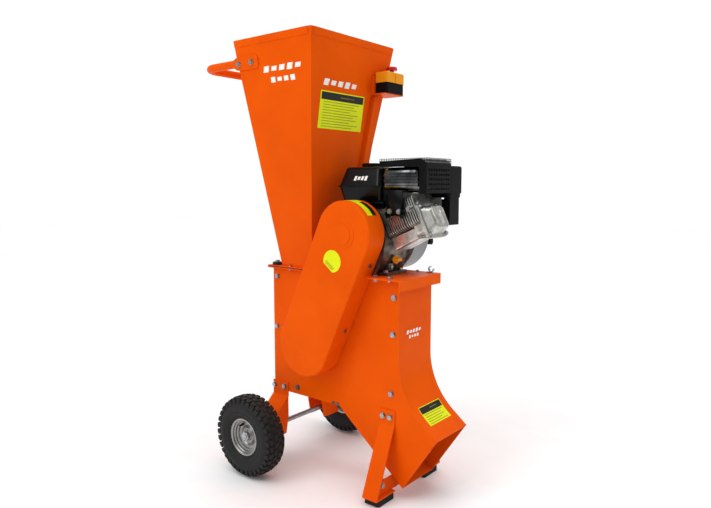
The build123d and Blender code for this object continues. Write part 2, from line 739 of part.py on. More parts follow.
rim_sheet = 3.0
bead = 27.0
hub_radius = 16.0
bore = axle_radius + running_fit
half_tread = tyre_width / 2
tyre_side = [  # radius and offset from the middle, from the bead out to the tread
    (rim_radius + 20, -half_tread + 2), (rim_radius + 36, -half_tread), (tyre_radius - 22, -half_tread + 2),
    (tyre_radius - 9, -half_tread + 9), (tyre_radius - 2, -half_tread + 21), (tyre_radius, -half_tread + 31),
]
for side, side_name in ((-1, "right"), (1, "left")):
    with BuildPart() as rim:
        barrel = rim_radius - 6
        turned(side, [(barrel, -bead), (rim_radius - 3, -bead), (rim_radius - 3, bead), (barrel, bead)])
        turned(side, [(hub_radius, 8), (barrel, -2), (barrel, -2 - rim_sheet), (hub_radius, 8 - rim_sheet)])
        turned(side, [(bore, -32), (hub_radius, -32), (hub_radius, hub_reach), (bore, hub_reach)])
        for edge in (-bead, bead - 3):
            turned(side, [(rim_radius - 3, edge), (rim_radius + 3, edge), (rim_radius + 3, edge + 3),
                          (rim_radius - 3, edge + 3)])
        with BuildSketch(outward(side, track_half_width - 8)) as holes:
            with PolarLocations((barrel + hub_radius) / 2, 4):
                Circle(6)
        extrude(holes.sketch, amount=20, mode=Mode.SUBTRACT)
    finish(rim, f"wheel_rim_{side_name}")

    with BuildPart() as tyre:
        turned(side, [
            (rim_radius - 3, -bead + 3), (rim_radius + 3, -bead + 3), (rim_radius + 3, -bead - 2),
            *tyre_side, *[(radius, -offset) for radius, offset in reversed(tyre_side)],
            (rim_radius + 3, bead + 2), (rim_radius + 3, bead - 3), (rim_radius - 3, bead - 3),
        ])
        turned_cavity = tyre_radius - 14
        with BuildSketch(Plane(origin=(axle_x, side * track_half_width, axle_z), z_dir=(0, 0, 1))) as cavity:
            Polygon((rim_radius + 6, -bead), (turned_cavity - 10, -half_tread + 12), (turned_cavity, -bore),
                    (turned_cavity, bore), (turned_cavity - 10, half_tread - 12), (rim_radius + 6, bead),
                    align=None)
        revolve(cavity.sketch, axis=Axis((axle_x, 0, axle_z), (0, 1, 0)), mode=Mode.SUBTRACT)
    finish(tyre, f"tyre_{side_name}")

with BuildPart() as wheel_nuts:
    for side in (-1, 1):
        with BuildSketch(outward(side, hub_far + gap)) as nut:
            RegularPolygon(radius=15, side_count=6)
            Circle(axle_radius, mode=Mode.SUBTRACT)
        extrude(nut.sketch, amount=wheel_nut)
        with BuildSketch(outward(side, track_half_width - 32 - gap - 4)) as collar:
            Circle(16)
            Circle(axle_radius, mode=Mode.SUBTRACT)
        extrude(collar.sketch, amount=4)

# ---------------------------------------------------------------- rear legs
leg_front_x = axle_x + 18.0
leg_rear_x = leg_front_x - rear_leg_width
leg_line = [(case_half_width, 265.0), (case_half_width, 218.0), (140.0, 163.0), (168.0, 95.0)]
leg_bolt_rows = [(leg_rear_x + 7, 248.0), (leg_rear_x + 53, 250.0)]


def side_plane(x):
    """Plane across the machine, its X along +Y, its Y along +Z, extruding towards +X."""
    return Plane(origin=(x, 0, 0), x_dir=(0, 1, 0), z_dir=(1, 0, 0))


def bent_strip(side, line, x0, width):
    """Strip of leg sheet that follows a line of (distance from the middle, height) points."""
    for first, second in zip(line, line[1:]):
        run = (second[0] - first[0], second[1] - first[1])
        length = math.hypot(*run)
        normal = (-run[1] / length * leg_sheet, run[0] / length * leg_sheet)
        corners = [first, second, (second[0] + normal[0], second[1] + normal[1]),
                   (first[0] + normal[0], first[1] + normal[1])]
        with BuildSketch(side_plane(x0)) as strip:
            Polygon(*[(side * y, z) for y, z in corners], align=None)
        extrude(strip.sketch, amount=width)
    for y, z in line[1:-1]:
        disc(Plane(origin=(x0, side * y, z), z_dir=(1, 0, 0)), 0.8, width)


rear_legs = []
for side in (-1, 1):
    with BuildPart() as leg:
        bent_strip(side, leg_line, leg_rear_x, rear_leg_width)
        for x in (leg_rear_x, leg_front_x - leg_sheet):
            with BuildSketch(side_plane(x)) as gusset:
                Polygon(*[(side * y, z) for y, z in [
                    (case_half_width + 2, 218), (142, 163), (170, 95), (case_half_width + 13, 95),
                    (case_half_width + 2, 150),
                ]], align=None)
            extrude(gusset.sketch, amount=leg_sheet)
        disc(outward(side, 60), axle_radius, 140, Mode.SUBTRACT)
        inside = sorted((side * case_half_width, side * (case_half_width - 20)))
        block(leg_rear_x - 1, leg_front_x + 1, *inside, 90, 270, Mode.SUBTRACT)
    rear_legs.append(leg)
gather("rear_legs", *rear_legs)

# ---------------------------------------------------------------- front legs, crossbar and pads
front_leg_far = front_leg_x + front_leg_width
front_line = [(case_half_width, 263.0), (case_half_width, 222.0), (leg_foot_y, pad_height + 1.0)]
crossbar_x = front_leg_x + 36.0
front_legs = []
for side in (-1, 1):
    with BuildPart() as leg:
        bent_strip(side, front_line, front_leg_x, front_leg_width)
        foot_y = sorted((side * (case_half_width - 2), side * (leg_foot_y + leg_sheet * 0.8)))
        block(front_leg_x, front_leg_far, *foot_y, pad_height, pad_height + leg_sheet)
        tab_y = sorted((side * 112, side * 146))
        block(crossbar_x - leg_sheet, crossbar_x, *tab_y, pad_height + leg_sheet, pad_height + 46)
        inside = sorted((side * case_half_width, 0))
        block(front_leg_x - 1, front_leg_far + 1, *inside, 200, 270, Mode.SUBTRACT)
    front_legs.append(leg)
gather("front_legs", *front_legs)

with BuildPart() as crossbar:
    with BuildSketch(side_plane(crossbar_x)) as bar:
        low, high = pad_height + leg_sheet, pad_height + 46
        inner_low = leg_foot_y - 4
        inner_high = inner_low - (high - low) * (leg_foot_y - case_half_width) / 198
        Polygon((-inner_low, low), (inner_low, low), (inner_high, high), (-inner_high, high), align=None)
    extrude(bar.sketch, amount=leg_sheet)
finish(crossbar, "foot_crossbar")

pad_inner_y = case_half_width
pad_outer_y = 159.0
with BuildPart() as pads:
    for side in (-1, 1):
        with BuildSketch(Plane.XY) as foot:
            with Locations((front_leg_x + 24, side * (pad_inner_y + pad_outer_y) / 2)):
                RectangleRounded(53, pad_outer_y - pad_inner_y, 6)
        extrude(foot.sketch, amount=pad_height)
finish(pads, "rubber_feet")

with BuildPart() as leg_bolts:
    for side in (-1, 1):
        for x, z in leg_bolt_rows + [(front_leg_x + 11, 243), (front_leg_x + 37, 243)]:
            hex_bolt(outward(side, case_half_width + leg_sheet, x, z), bolt_size, 0)
        seat = Plane(origin=(crossbar_x + leg_sheet, side * 131, pad_height + 34), z_dir=(1, 0, 0))
        hex_bolt(seat, bolt_size, 0)
        seat = Plane(origin=(crossbar_x - leg_sheet, side * 131, pad_height + 34), z_dir=(-1, 0, 0))
        hex_bolt(seat, bolt_size, 0)

# ---------------------------------------------------------------- engine: crankcase
engine_near_y = -80.0
engine_far_y = 50.0
side_cover = 12.0
crank_wall = 6.0
block_start = 88.0  # cylinder seat, from the crank centre
seat_half = 46.0
tilt = math.radians(cylinder_tilt)
along = (math.cos(tilt), 0, math.sin(tilt))
block_top = crank_z + block_start * math.sin(tilt) + seat_half * math.cos(tilt)
block_rear_x = crank_x - 84
block_front_x = crank_x + 88
base_taper = 26.0
shoulder = 46.0


def seat_corner(across):
    """Corner of the crankcase on the cylinder seat, across the cylinder's axis."""
    return (
        crank_x + block_start * math.cos(tilt) - across * math.sin(tilt),
        crank_z + block_start * math.sin(tilt) + across * math.cos(tilt),
    )


def case_outline(inset):
    """Sketch of the crankcase in the XZ plane."""
    with BuildSketch(Plane.XZ, mode=Mode.PRIVATE) as outline:
        Polygon(
            (block_rear_x, platform_top_z + shoulder),
            (block_rear_x + base_taper, platform_top_z),
            (block_front_x - base_taper, platform_top_z),
            (block_front_x, platform_top_z + shoulder),
            seat_corner(-seat_half),
            seat_corner(seat_half),
            (block_rear_x + 30, block_top),
            (block_rear_x, crank_z + 30),
            align=None,
        )
        if inset:
            offset(amount=-inset, kind=Kind.INTERSECTION, mode=Mode.REPLACE)
    return outline.sketch


with BuildPart() as crankcase:
    with BuildSketch(Plane.XZ.offset(-engine_far_y)) as outline:
        add(case_outline(0))
    extrude(outline.sketch, amount=engine_far_y - engine_near_y - side_cover)
    for side in (-1, 1):
        x = engine_base_x + side * (engine_bolt_pitch_x / 2 - 5)
        block(x - 15, x + 15, -68, 36, platform_top_z, platform_top_z + 10)
    filler_x = block_front_x + 6
    disc(Plane(origin=(filler_x - 16, -26, platform_top_z + 46), z_dir=(1, 0, 0)), 11, 16)
    drain_x = block_front_x - 2
    block(drain_x - 18, drain_x, -45, -25, platform_top_z + 14, platform_top_z + 34)
    with BuildSketch(Plane.XZ.offset(-engine_far_y + crank_wall)) as outline:
        add(case_outline(crank_wall))
    extrude(outline.sketch, amount=engine_far_y - engine_near_y - side_cover - crank_wall, mode=Mode.SUBTRACT)
    disc(y_plane(crank_x, engine_far_y, crank_z), crank_radius + running_fit, crank_wall, Mode.SUBTRACT)
    cylinder_plane = Plane(origin=(crank_x, -10, crank_z), x_dir=(0, 1, 0), z_dir=along)
    disc(cylinder_plane, 40, 110, Mode.SUBTRACT)
finish(crankcase, "crankcase")

with BuildPart() as crank_cover:
    with BuildSketch(Plane.XZ.offset(-engine_near_y - side_cover)) as outline:
        add(case_outline(0))
    extrude(outline.sketch, amount=side_cover)
    shaft_hole = y_plane(crank_x, engine_near_y + side_cover, crank_z)
    disc(shaft_hole, crank_radius + running_fit, side_cover, Mode.SUBTRACT)
finish(crank_cover, "crankcase_cover")

with BuildPart() as engine_bolts:
    for x, y in engine_bolts_xy:
        hex_bolt(Plane(origin=(x, y, platform_top_z + 10)), bolt_size, 0)
    hex_bolt(Plane(origin=(drain_x, -35, platform_top_z + 24), z_dir=(1, 0, 0)), 6.0, 0)

with BuildPart() as crankshaft:
    disc(y_plane(crank_x, 96, crank_z), crank_radius, 96 + 152)
    for y in (34, -28):
        disc(y_plane(crank_x, y, crank_z), 30, 10)
finish(crankshaft, "crankshaft")

with BuildPart() as flywheel:
    with BuildSketch(y_plane(crank_x, 84, crank_z)) as body:
        Circle(80)
        Circle(crank_radius, mode=Mode.SUBTRACT)
    extrude(body.sketch, amount=22)
    with BuildSketch(y_plane(crank_x, 94, crank_z)) as vanes:
        with PolarLocations(62, 16):
            Rectangle(30, 2.5)
    extrude(vanes.sketch, amount=12)
finish(flywheel, "flywheel_fan")

# ---------------------------------------------------------------- cylinder, head and valve cover
fin_pitch = 7.5
fin_thick = 2.5
bore_radius = 34.0
head_start = 160.0
head_end = cover_plane - 3


def tilted(distance, across=0.0, y=-10.0):
    """Plane square to the cylinder at a distance from the crank, X along +Y and Y up the tilted face."""
    up = (-math.sin(tilt), 0, math.cos(tilt))
    origin = [c + distance * a + across * u for c, a, u in zip((crank_x, y, crank_z), along, up)]
    return Plane(origin=tuple(origin), x_dir=(0, 1, 0), z_dir=along)


def finned(start, end, width, height, across, core):
    """Core bar with square cooling fins between two distances from the crank."""
    with BuildSketch(tilted(start, 0)) as middle:
        Circle(core)
    extrude(middle.sketch, amount=end - start)
    count = int((end - start - fin_thick) / fin_pitch) + 1
    for number in range(count):
        with BuildSketch(tilted(start + number * fin_pitch, across)) as fin:
            RectangleRounded(width, height, 14)
        extrude(fin.sketch, amount=fin_thick)


with BuildPart() as cylinder:
    finned(block_start + 4, head_start - 1, 108, 88, 0, bore_radius + 6)
    with BuildSketch(tilted(block_start)) as seat:
        RectangleRounded(92, 84, 10)
    extrude(seat.sketch, amount=4)
    with BuildSketch(tilted(block_start)) as hollow:
        Circle(bore_radius)
    extrude(hollow.sketch, amount=head_start - block_start, mode=Mode.SUBTRACT)

with BuildPart() as piston:
    with BuildSketch(tilted(head_start - 46)) as crown:
        Circle(bore_radius - running_fit)
    extrude(crown.sketch, amount=38)
    with BuildSketch(tilted(head_start - 46)) as skirt:
        Circle(bore_radius - 5)
    extrude(skirt.sketch, amount=30, mode=Mode.SUBTRACT)
finish(piston, "piston")

with BuildPart() as head:
    finned(head_start, head_end, 104, 88, 0, bore_radius + 4)
    with BuildSketch(tilted(head_start + 12, -50)) as gallery:
        RectangleRounded(78, 44, 8)
    extrude(gallery.sketch, amount=head_end - head_start - 12)
    with BuildSketch(tilted(head_end - 6, -42)) as face:
        RectangleRounded(100, 104, 12)
    extrude(face.sketch, amount=6)
finish(head, "cylinder_head")

with BuildPart() as pushrod_case:
    with BuildSketch(tilted(90, -64)) as outline:
        RectangleRounded(84, 40, 6)
    with BuildSketch(tilted(head_start + 11.5, -64)) as far_outline:
        RectangleRounded(78, 34, 6)
    loft([outline.sketch, far_outline.sketch])
    block(crank_x, crank_x + 300, -100, 100, platform_top_z, platform_top_z + 20, Mode.SUBTRACT)
gather("cylinder_block", cylinder, pushrod_case)

with BuildPart() as valve_cover:
    with BuildSketch(tilted(head_end, -42)) as flange:
        RectangleRounded(100, 102, 12)
    extrude(flange.sketch, amount=3)
    with BuildSketch(tilted(cover_plane, -42)) as foot:
        RectangleRounded(84, 86, 16)
    with BuildSketch(tilted(cover_plane + 27, -42)) as crown:
        RectangleRounded(66, 66, 16)
    loft([foot.sketch, crown.sketch])
    fillet(valve_cover.faces().sort_by(Axis(origin=(0, 0, 0), direction=along))[-1].edges(), 7)
finish(valve_cover, "valve_cover")

with BuildPart() as spark_plug:
    base = tilted(head_start + 30, 4, -10 - 52)
    plug_plane = Plane(origin=base.origin, z_dir=(0, -1, 0))
    disc(plug_plane, 9, 7)
    disc(plug_plane.offset(7), 6, 7)
finish(spark_plug, "spark_plug")

# ---------------------------------------------------------------- fuel tank
tank_y0, tank_y1 = -60.0, 130.0
tank_bottom_z = 870.0
tank_top_z = 968.0
tank_front = 224.0  # front edge of its seam lip


def tank_section(z, x0, x1, shrink, radius=16):
    """Rounded section of the fuel tank at a height."""
    with BuildSketch(Plane.XY.offset(z)) as section:
        with Locations(((x0 + x1) / 2, (tank_y0 + tank_y1) / 2)):
            RectangleRounded(x1 - x0, tank_y1 - tank_y0 - 2 * shrink, radius)
    return section.sketch


with BuildPart() as tank:
    loft([tank_section(tank_bottom_z, 66, tank_front - 14, 8), tank_section(tank_seam_z - 2, 56, tank_front - 6, 0)])
    extrude(tank_section(tank_seam_z - 2, 50, tank_front, -5, 20), amount=4)
    loft([tank_section(tank_seam_z + 2, 56, tank_front - 6, 0), tank_section(tank_top_z, 74, tank_front - 14, 14)])
    fillet(tank.edges().group_by(Axis.Z)[-1], 10)
    middle = tank_section(tank_seam_z - 2, 62, tank_front - 12, 6, 12)
    loft([tank_section(tank_bottom_z + 4, 72, tank_front - 20, 14, 10), middle], mode=Mode.SUBTRACT)
    loft([middle, tank_section(tank_top_z - 5, 80, tank_front - 20, 20, 10)], mode=Mode.SUBTRACT)
    filler = Plane(origin=(115, 34, tank_top_z - 5))
    disc(filler, 24, 9)
    disc(filler, 20, 9, Mode.SUBTRACT)
finish(tank, "fuel_tank")

with BuildPart() as fuel_cap:
    cap_base = Plane(origin=(115, 34, tank_top_z + gap))
    disc(cap_base, 31, 13)
    fillet(fuel_cap.edges().group_by(Axis.Z)[-1], 4)
    disc(cap_base, 24 + gap, 5, Mode.SUBTRACT)
    with BuildSketch(cap_base) as scallops:
        with PolarLocations(33.5, 10):
            Circle(5)
    extrude(scallops.sketch, amount=20, mode=Mode.SUBTRACT)
finish(fuel_cap, "fuel_cap")


# ---------------------------------------------------------------- muffler and its guard
muffler_x0, muffler_x1 = 227.0, 352.0
muffler_y, muffler_z = -25.0, 932.0
muffler_width, muffler_height = 84.0, 66.0
guard_x0, guard_x1 = 226.0, 383.0
guard_y0, guard_y1 = -75.0, 55.0
guard_low_z, guard_top_z = 892.0, 987.0
guard_wall = 1.5


def muffler_plane(along_x):
    """Plane across the muffler at a distance from its rear end."""
    return Plane(origin=(muffler_x0 + along_x, muffler_y, muffler_z), x_dir=(0, 1, 0), z_dir=(1, 0, 0))


with BuildPart() as muffler:
    with BuildSketch(muffler_plane(0)) as section:
        RectangleRounded(muffler_width, muffler_height, 30)
    extrude(section.sketch, amount=muffler_x1 - muffler_x0)
    fillet(muffler.edges(), 8)
    for along_x in (18, 30, 76, 88):
        with BuildSketch(muffler_plane(along_x)) as rib:
            RectangleRounded(muffler_width + 3, muffler_height + 3, 31)
        extrude(rib.sketch, amount=5)
finish(muffler, "muffler")

bracket_x = muffler_x0 + 22
cylinder_near_y = -64.0
muffler_low = muffler_z - (muffler_height + 3) / 2  # underside of its ribs
bracket_y = -70.0
with BuildPart() as brackets:
    for x in (96, 190):
        block(x, x + 16, -30, 40, block_top, tank_bottom_z)
    block(bracket_x, bracket_x + 54, bracket_y - 3, bracket_y, 830, muffler_z)
    block(bracket_x, bracket_x + 54, bracket_y, muffler_y - 20, muffler_low - 4, muffler_low)
    for x in (bracket_x + 11, bracket_x + 43):
        disc(y_plane(x, cylinder_near_y, 840), 7, cylinder_near_y - bracket_y)
finish(brackets, "engine_brackets")

with BuildPart() as muffler_bolts:
    for x in (bracket_x + 11, bracket_x + 43):
        hex_bolt(y_plane(x, bracket_y - 3, 840), 7.0, 0)

with BuildPart() as muffler_guard:
    with BuildSketch(Plane.XZ.offset(-guard_y1)) as outline:
        Polygon((guard_x0, guard_top_z - 6), (guard_x1 - 20, guard_top_z), (guard_x1, guard_top_z - 12),
                (guard_x1, guard_low_z), (guard_x0, guard_low_z), align=None)
    extrude(outline.sketch, amount=guard_y1 - guard_y0)
    with BuildSketch(Plane.XZ.offset(-guard_y1 + guard_wall)) as hollow:
        Polygon((guard_x0 - 1, guard_top_z - 6 - guard_wall), (guard_x1 - 20, guard_top_z - guard_wall),
                (guard_x1 - guard_wall, guard_top_z - 12 - guard_wall), (guard_x1 - guard_wall, guard_low_z - 1),
                (guard_x0 - 1, guard_low_z - 1), align=None)
    extrude(hollow.sketch, amount=guard_y1 - guard_y0 - 2 * guard_wall, mode=Mode.SUBTRACT)
    block(guard_x0 - 1, guard_x1 - 24, guard_y0 - 1, guard_y0 + guard_wall, guard_low_z - 1, guard_top_z - 22,
          Mode.SUBTRACT)
    post = Plane(origin=(muffler_x0 + 55, muffler_y, muffler_z + muffler_height / 2))
    disc(post, 6, guard_top_z - 4 - muffler_z - muffler_height / 2)
    for row in range(5):
        for column in range(9):
            place = (guard_x1, guard_y0 + 13 + 13 * column, guard_low_z + 12 + 13 * row)
            hole = Plane(origin=place, z_dir=(1, 0, 0))
            disc(hole, 4, -4, Mode.SUBTRACT)
finish(muffler_guard, "muffler_guard")

# ---------------------------------------------------------------- air cleaner and carburettor
air_x0, air_x1 = 262.0, 375.0
air_y0, air_y1 = 62.0, 137.0
with BuildPart() as air_base:
    with BuildSketch(Plane.XY.offset(878)) as outline:
        with Locations(((air_x0 + air_x1) / 2, (air_y0 + air_y1) / 2)):
            RectangleRounded(air_x1 - air_x0 - 6, air_y1 - air_y0 - 6, 8)
    extrude(outline.sketch, amount=12)
    block(air_x1 - 26, air_x1 - 6, air_y0 + 12, air_y1 - 10, 798, 878)
finish(air_base, "air_cleaner_base")

with BuildPart() as air_cover:
    with BuildSketch(Plane.XY.offset(890)) as outline:
        with Locations(((air_x0 + air_x1) / 2, (air_y0 + air_y1) / 2)):
            RectangleRounded(air_x1 - air_x0, air_y1 - air_y0, 10)
    extrude(outline.sketch, amount=80)
    fillet(air_cover.edges().group_by(Axis.Z)[-1], 7)
    with BuildSketch(Plane.XY.offset(890)) as hollow:
        with Locations(((air_x0 + air_x1) / 2, (air_y0 + air_y1) / 2)):
            RectangleRounded(air_x1 - air_x0 - 6, air_y1 - air_y0 - 6, 7)
    extrude(hollow.sketch, amount=76, mode=Mode.SUBTRACT)
finish(air_cover, "air_cleaner_cover")

with BuildPart() as carburettor:
    block(296, 330, 50, 92, 838, 878)
    disc(Plane(origin=(313, 68, 838), z_dir=(0, 0, -1)), 17, 26)
    block(300, 326, 42, 50, 842, 872)
finish(carburettor, "carburettor")

# ---------------------------------------------------------------- fan housing, starter and levers
fan_center_x = crank_x + 8
fan_center_z = crank_z - 4
fan_radius = 108.0
fan_far_y = 128.0
recoil_far_y = 154.0
with BuildPart() as fan_housing:
    fan_plane = y_plane(fan_center_x, fan_far_y, fan_center_z)
    disc(fan_plane, fan_radius, fan_far_y - engine_far_y)
    fillet(fan_housing.edges().group_by(Axis.Y)[-1], 8)
    disc(fan_plane.offset(3), fan_radius - 3, fan_far_y - engine_far_y - 6, Mode.SUBTRACT)
    disc(y_plane(crank_x, fan_far_y, crank_z), 70, 4, Mode.SUBTRACT)
    disc(y_plane(crank_x, engine_far_y + 3, crank_z), crank_radius + 3, 4, Mode.SUBTRACT)
    switch_seat = Plane(origin=(crank_x - 62, fan_far_y - 2, crank_z + 64), z_dir=(0, 1, 0))
    disc(switch_seat, 10, 10)
finish(fan_housing, "fan_housing")

with BuildPart() as recoil:
    recoil_plane = y_plane(crank_x, recoil_far_y, crank_z)
    disc(recoil_plane, 76, recoil_far_y - fan_far_y)
    fillet(recoil.edges().group_by(Axis.Y)[-1], 8)
    disc(recoil_plane.offset(3), 72, recoil_far_y - fan_far_y, Mode.SUBTRACT)
    with BuildSketch(recoil_plane) as vents:
        with PolarLocations(48, 12):
            SlotOverall(30, 7)
    extrude(vents.sketch, amount=4, mode=Mode.SUBTRACT)
    block(crank_x + 68, crank_x + 92, fan_far_y, recoil_far_y - 4, crank_z - 14, crank_z + 6)
finish(recoil, "recoil_cover")

with BuildPart() as grip:
    grip_plane = Plane(origin=(crank_x + 92 + gap, 139, crank_z - 4), x_dir=(0, 1, 0), z_dir=(1, 0, 0))
    with BuildSketch(grip_plane) as root:
        RectangleRounded(14, 34, 6)
    extrude(root.sketch, amount=16)
    with BuildSketch(grip_plane.offset(8)) as bar:
        RectangleRounded(18, 60, 8.5)
    extrude(bar.sketch, amount=16)
finish(grip, "starter_grip")

def lever(x, z, length, swing, name):
    """Flat lever with a round knob, pivoting about an axis along Y on a pin in the control panel."""
    with BuildPart() as arm:
        seat = y_plane(x, panel_far_y + gap + 3, z)
        disc(seat, 9, 3)
        with BuildSketch(swung_plane(x, panel_far_y + gap + 3, z, swing)) as blade:
            with Locations((length / 2, 0)):
                SlotOverall(length + 10, 9)
        extrude(blade.sketch, amount=3)
        disc(seat, 3, -4)
        disc(seat, 3, 3 + gap + 6)
    finish(arm, name)


panel_far_y = 144.0
panel_x0, panel_x1 = 284.0, 343.0
levers = [("throttle_lever", panel_x0 + 14, 838, 30, 60), ("choke_lever", panel_x1 - 16, 826, 20, -60)]
with BuildPart() as panel:
    block(panel_x0, panel_x1, panel_far_y - 6, panel_far_y, 812, 872)
    block(panel_x1 - 6, panel_x1, air_y1 - 16, panel_far_y - 6, 830, 850)
    block(panel_x1 - 6, air_x1 - 26, air_y1 - 16, air_y1 - 10, 830, 850)
    for _, x, z, _, _ in levers:
        disc(y_plane(x, panel_far_y, z), 3 + running_fit, 6, Mode.SUBTRACT)
finish(panel, "control_panel")
for name, x, z, length, swing in levers:
    lever(x, z, length, swing, name)

with BuildPart() as engine_knob:
    disc(switch_seat.offset(10 + gap), 9, 5)
    with BuildSketch(switch_seat.offset(10 + gap + 5)) as ridge:
        Rectangle(17, 5)
    extrude(ridge.sketch, amount=6)
finish(engine_knob, "engine_switch_knob")

with BuildPart() as dipstick:
    dip_plane = Plane(origin=(filler_x + gap, -26, platform_top_z + 46), x_dir=(0, 1, 0), z_dir=(1, 0, 0))
    with BuildSketch(dip_plane) as collar:
        RegularPolygon(radius=13, side_count=8)
    extrude(collar.sketch, amount=6)
    with BuildSketch(dip_plane.offset(6)) as wing:
        RectangleRounded(22, 9, 3)
    extrude(wing.sketch, amount=12)
finish(dipstick, "oil_dipstick")

# ---------------------------------------------------------------- fasteners grouped by where they are
gather("engine_bolts", engine_bolts, muffler_bolts)
gather(
    "frame_fasteners", case_bolts, hopper_bolts, handle_bolts, platform_bolts, guard_screws, housing_bolts,
    wheel_nuts, leg_bolts, cable_clip,
)
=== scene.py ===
import bpy, json, math
from mathutils import Matrix, Vector


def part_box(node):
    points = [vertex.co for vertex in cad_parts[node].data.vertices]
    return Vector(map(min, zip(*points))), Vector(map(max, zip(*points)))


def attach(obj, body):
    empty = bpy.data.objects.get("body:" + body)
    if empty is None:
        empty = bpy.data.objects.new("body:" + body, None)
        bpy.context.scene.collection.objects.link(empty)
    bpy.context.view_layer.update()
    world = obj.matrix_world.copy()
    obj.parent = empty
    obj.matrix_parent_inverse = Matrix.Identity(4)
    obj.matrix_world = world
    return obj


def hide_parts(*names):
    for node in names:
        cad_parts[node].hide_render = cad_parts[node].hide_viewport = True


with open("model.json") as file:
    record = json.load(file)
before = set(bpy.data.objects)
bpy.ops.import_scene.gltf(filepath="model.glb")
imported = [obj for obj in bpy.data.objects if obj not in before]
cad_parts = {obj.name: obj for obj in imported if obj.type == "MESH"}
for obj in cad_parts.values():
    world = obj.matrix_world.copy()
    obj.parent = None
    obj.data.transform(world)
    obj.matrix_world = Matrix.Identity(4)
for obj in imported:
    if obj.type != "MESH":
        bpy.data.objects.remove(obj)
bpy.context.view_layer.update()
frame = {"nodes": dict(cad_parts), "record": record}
nodes = frame["nodes"]
slots = {part["node"]: part["material_slot"] for part in frame["record"]["subparts"]}


def addNode(tree, kind, values=None, links=None, **settings):
    # one node with its options, socket values and incoming links
    node = tree.nodes.new("ShaderNode" + kind)
    for key, value in settings.items():
        setattr(node, key, value)
    for key, value in (values or {}).items():
        node.inputs[key].default_value = value
    for key, output in (links or {}).items():
        tree.links.new(output, node.inputs[key])
    return node


def multiply(tree, first, second):
    return addNode(tree, "Math", links={0: first, 1: second}, operation="MULTIPLY").outputs["Value"]


def newGroup(name, inputs, outputs):
    group = bpy.data.node_groups.new(name, "ShaderNodeTree")
    for label, value in inputs:
        socket = group.interface.new_socket(label, in_out="INPUT", socket_type="NodeSocketFloat")
        socket.default_value = value
    for label in outputs:
        group.interface.new_socket(label, in_out="OUTPUT", socket_type="NodeSocketFloat")
    return group, group.nodes.new("NodeGroupInput"), group.nodes.new("NodeGroupOutput")


def makeGrainGroup():
    # fine grain for bumps, and broad blotches for colour and gloss
    sizes = [("Fine Scale", 900.0), ("Broad Scale", 9.0)]
    group, inside, out = newGroup("surfaceGrain", sizes, ["Fine", "Broad"])
    coord = addNode(group, "TexCoord")
    fine = addNode(group, "TexNoise", {"Detail": 3.0, "Roughness": 0.6},
                   {"Vector": coord.outputs["Object"], "Scale": inside.outputs["Fine Scale"]})
    broad = addNode(group, "TexNoise", {"Detail": 5.0, "Roughness": 0.55},
                    {"Vector": coord.outputs["Object"], "Scale": inside.outputs["Broad Scale"]})
    group.links.new(fine.outputs["Fac"], out.inputs["Fine"])
    group.links.new(broad.outputs["Fac"], out.inputs["Broad"])
    return group


def makeWearAndSheenGroup():
    # mask that is 1 along edges in broken patches: rubbed wear on most finishes, and a painted edge highlight
    # on the orange paint
    group, inside, out = newGroup("edgeWearAndSheen", [("Radius", 0.0015), ("Amount", 0.5)], ["Mask"])
    bevel = addNode(group, "Bevel", links={"Radius": inside.outputs["Radius"]}, samples=4)
    geometry = addNode(group, "NewGeometry")
    dot = addNode(group, "VectorMath", links={0: bevel.outputs["Normal"], 1: geometry.outputs["Normal"]},
                  operation="DOT_PRODUCT")
    edge = addNode(group, "MapRange", {"From Min": 0.97, "From Max": 0.80, "To Min": 0.0, "To Max": 1.0},
                   {"Value": dot.outputs["Value"]})
    coord = addNode(group, "TexCoord")
    patch = addNode(group, "TexNoise", {"Scale": 60.0, "Detail": 4.0}, {"Vector": coord.outputs["Object"]})
    broken = addNode(group, "MapRange", {"From Min": 0.48, "From Max": 0.66}, {"Value": patch.outputs["Fac"]})
    mask = multiply(group, edge.outputs["Result"], broken.outputs["Result"])
    group.links.new(multiply(group, mask, inside.outputs["Amount"]), out.inputs["Mask"])
    return group


def makeDustGroup():
    # mask of thin dust that settles on faces turned up
    group, inside, out = newGroup("dustVeil", [("Amount", 0.2)], ["Mask"])
    geometry = addNode(group, "NewGeometry")
    axes = addNode(group, "SeparateXYZ", links={"Vector": geometry.outputs["Normal"]})
    up = addNode(group, "MapRange", {"From Min": 0.3, "From Max": 1.0, "To Min": 0.15, "To Max": 1.0},
                 {"Value": axes.outputs["Z"]})
    coord = addNode(group, "TexCoord")
    patch = addNode(group, "TexNoise", {"Scale": 22.0, "Detail": 6.0}, {"Vector": coord.outputs["Object"]})
    mask = multiply(group, up.outputs["Result"], patch.outputs["Fac"])
    group.links.new(multiply(group, mask, inside.outputs["Amount"]), out.inputs["Mask"])
    return group


grainGroup = makeGrainGroup()
wearAndSheenGroup = makeWearAndSheenGroup()
dustGroup = makeDustGroup()
print("node groups ready")


def srgb(red, green, blue):
    # linear colour from 0-255 screen values
    def linear(level):
        share = level / 255
        return share / 12.92 if share <= 0.04045 else ((share + 0.055) / 1.055) ** 2.4
    return (linear(red), linear(green), linear(blue), 1.0)


def useGroup(tree, group, **values):
    node = tree.nodes.new("ShaderNodeGroup")
    node.node_tree = group
    for key, value in values.items():
        node.inputs[key.replace("_", " ")].default_value = value
    return node


def mixColor(tree, first, second, factor):
    node = tree.nodes.new("ShaderNodeMix")
    node.data_type = "RGBA"
    for index, value in ((6, first), (7, second)):
        if isinstance(value, tuple):
            node.inputs[index].default_value = value
        else:
            tree.links.new(value, node.inputs[index])
    tree.links.new(factor, node.inputs[0])
    return node.outputs[2]


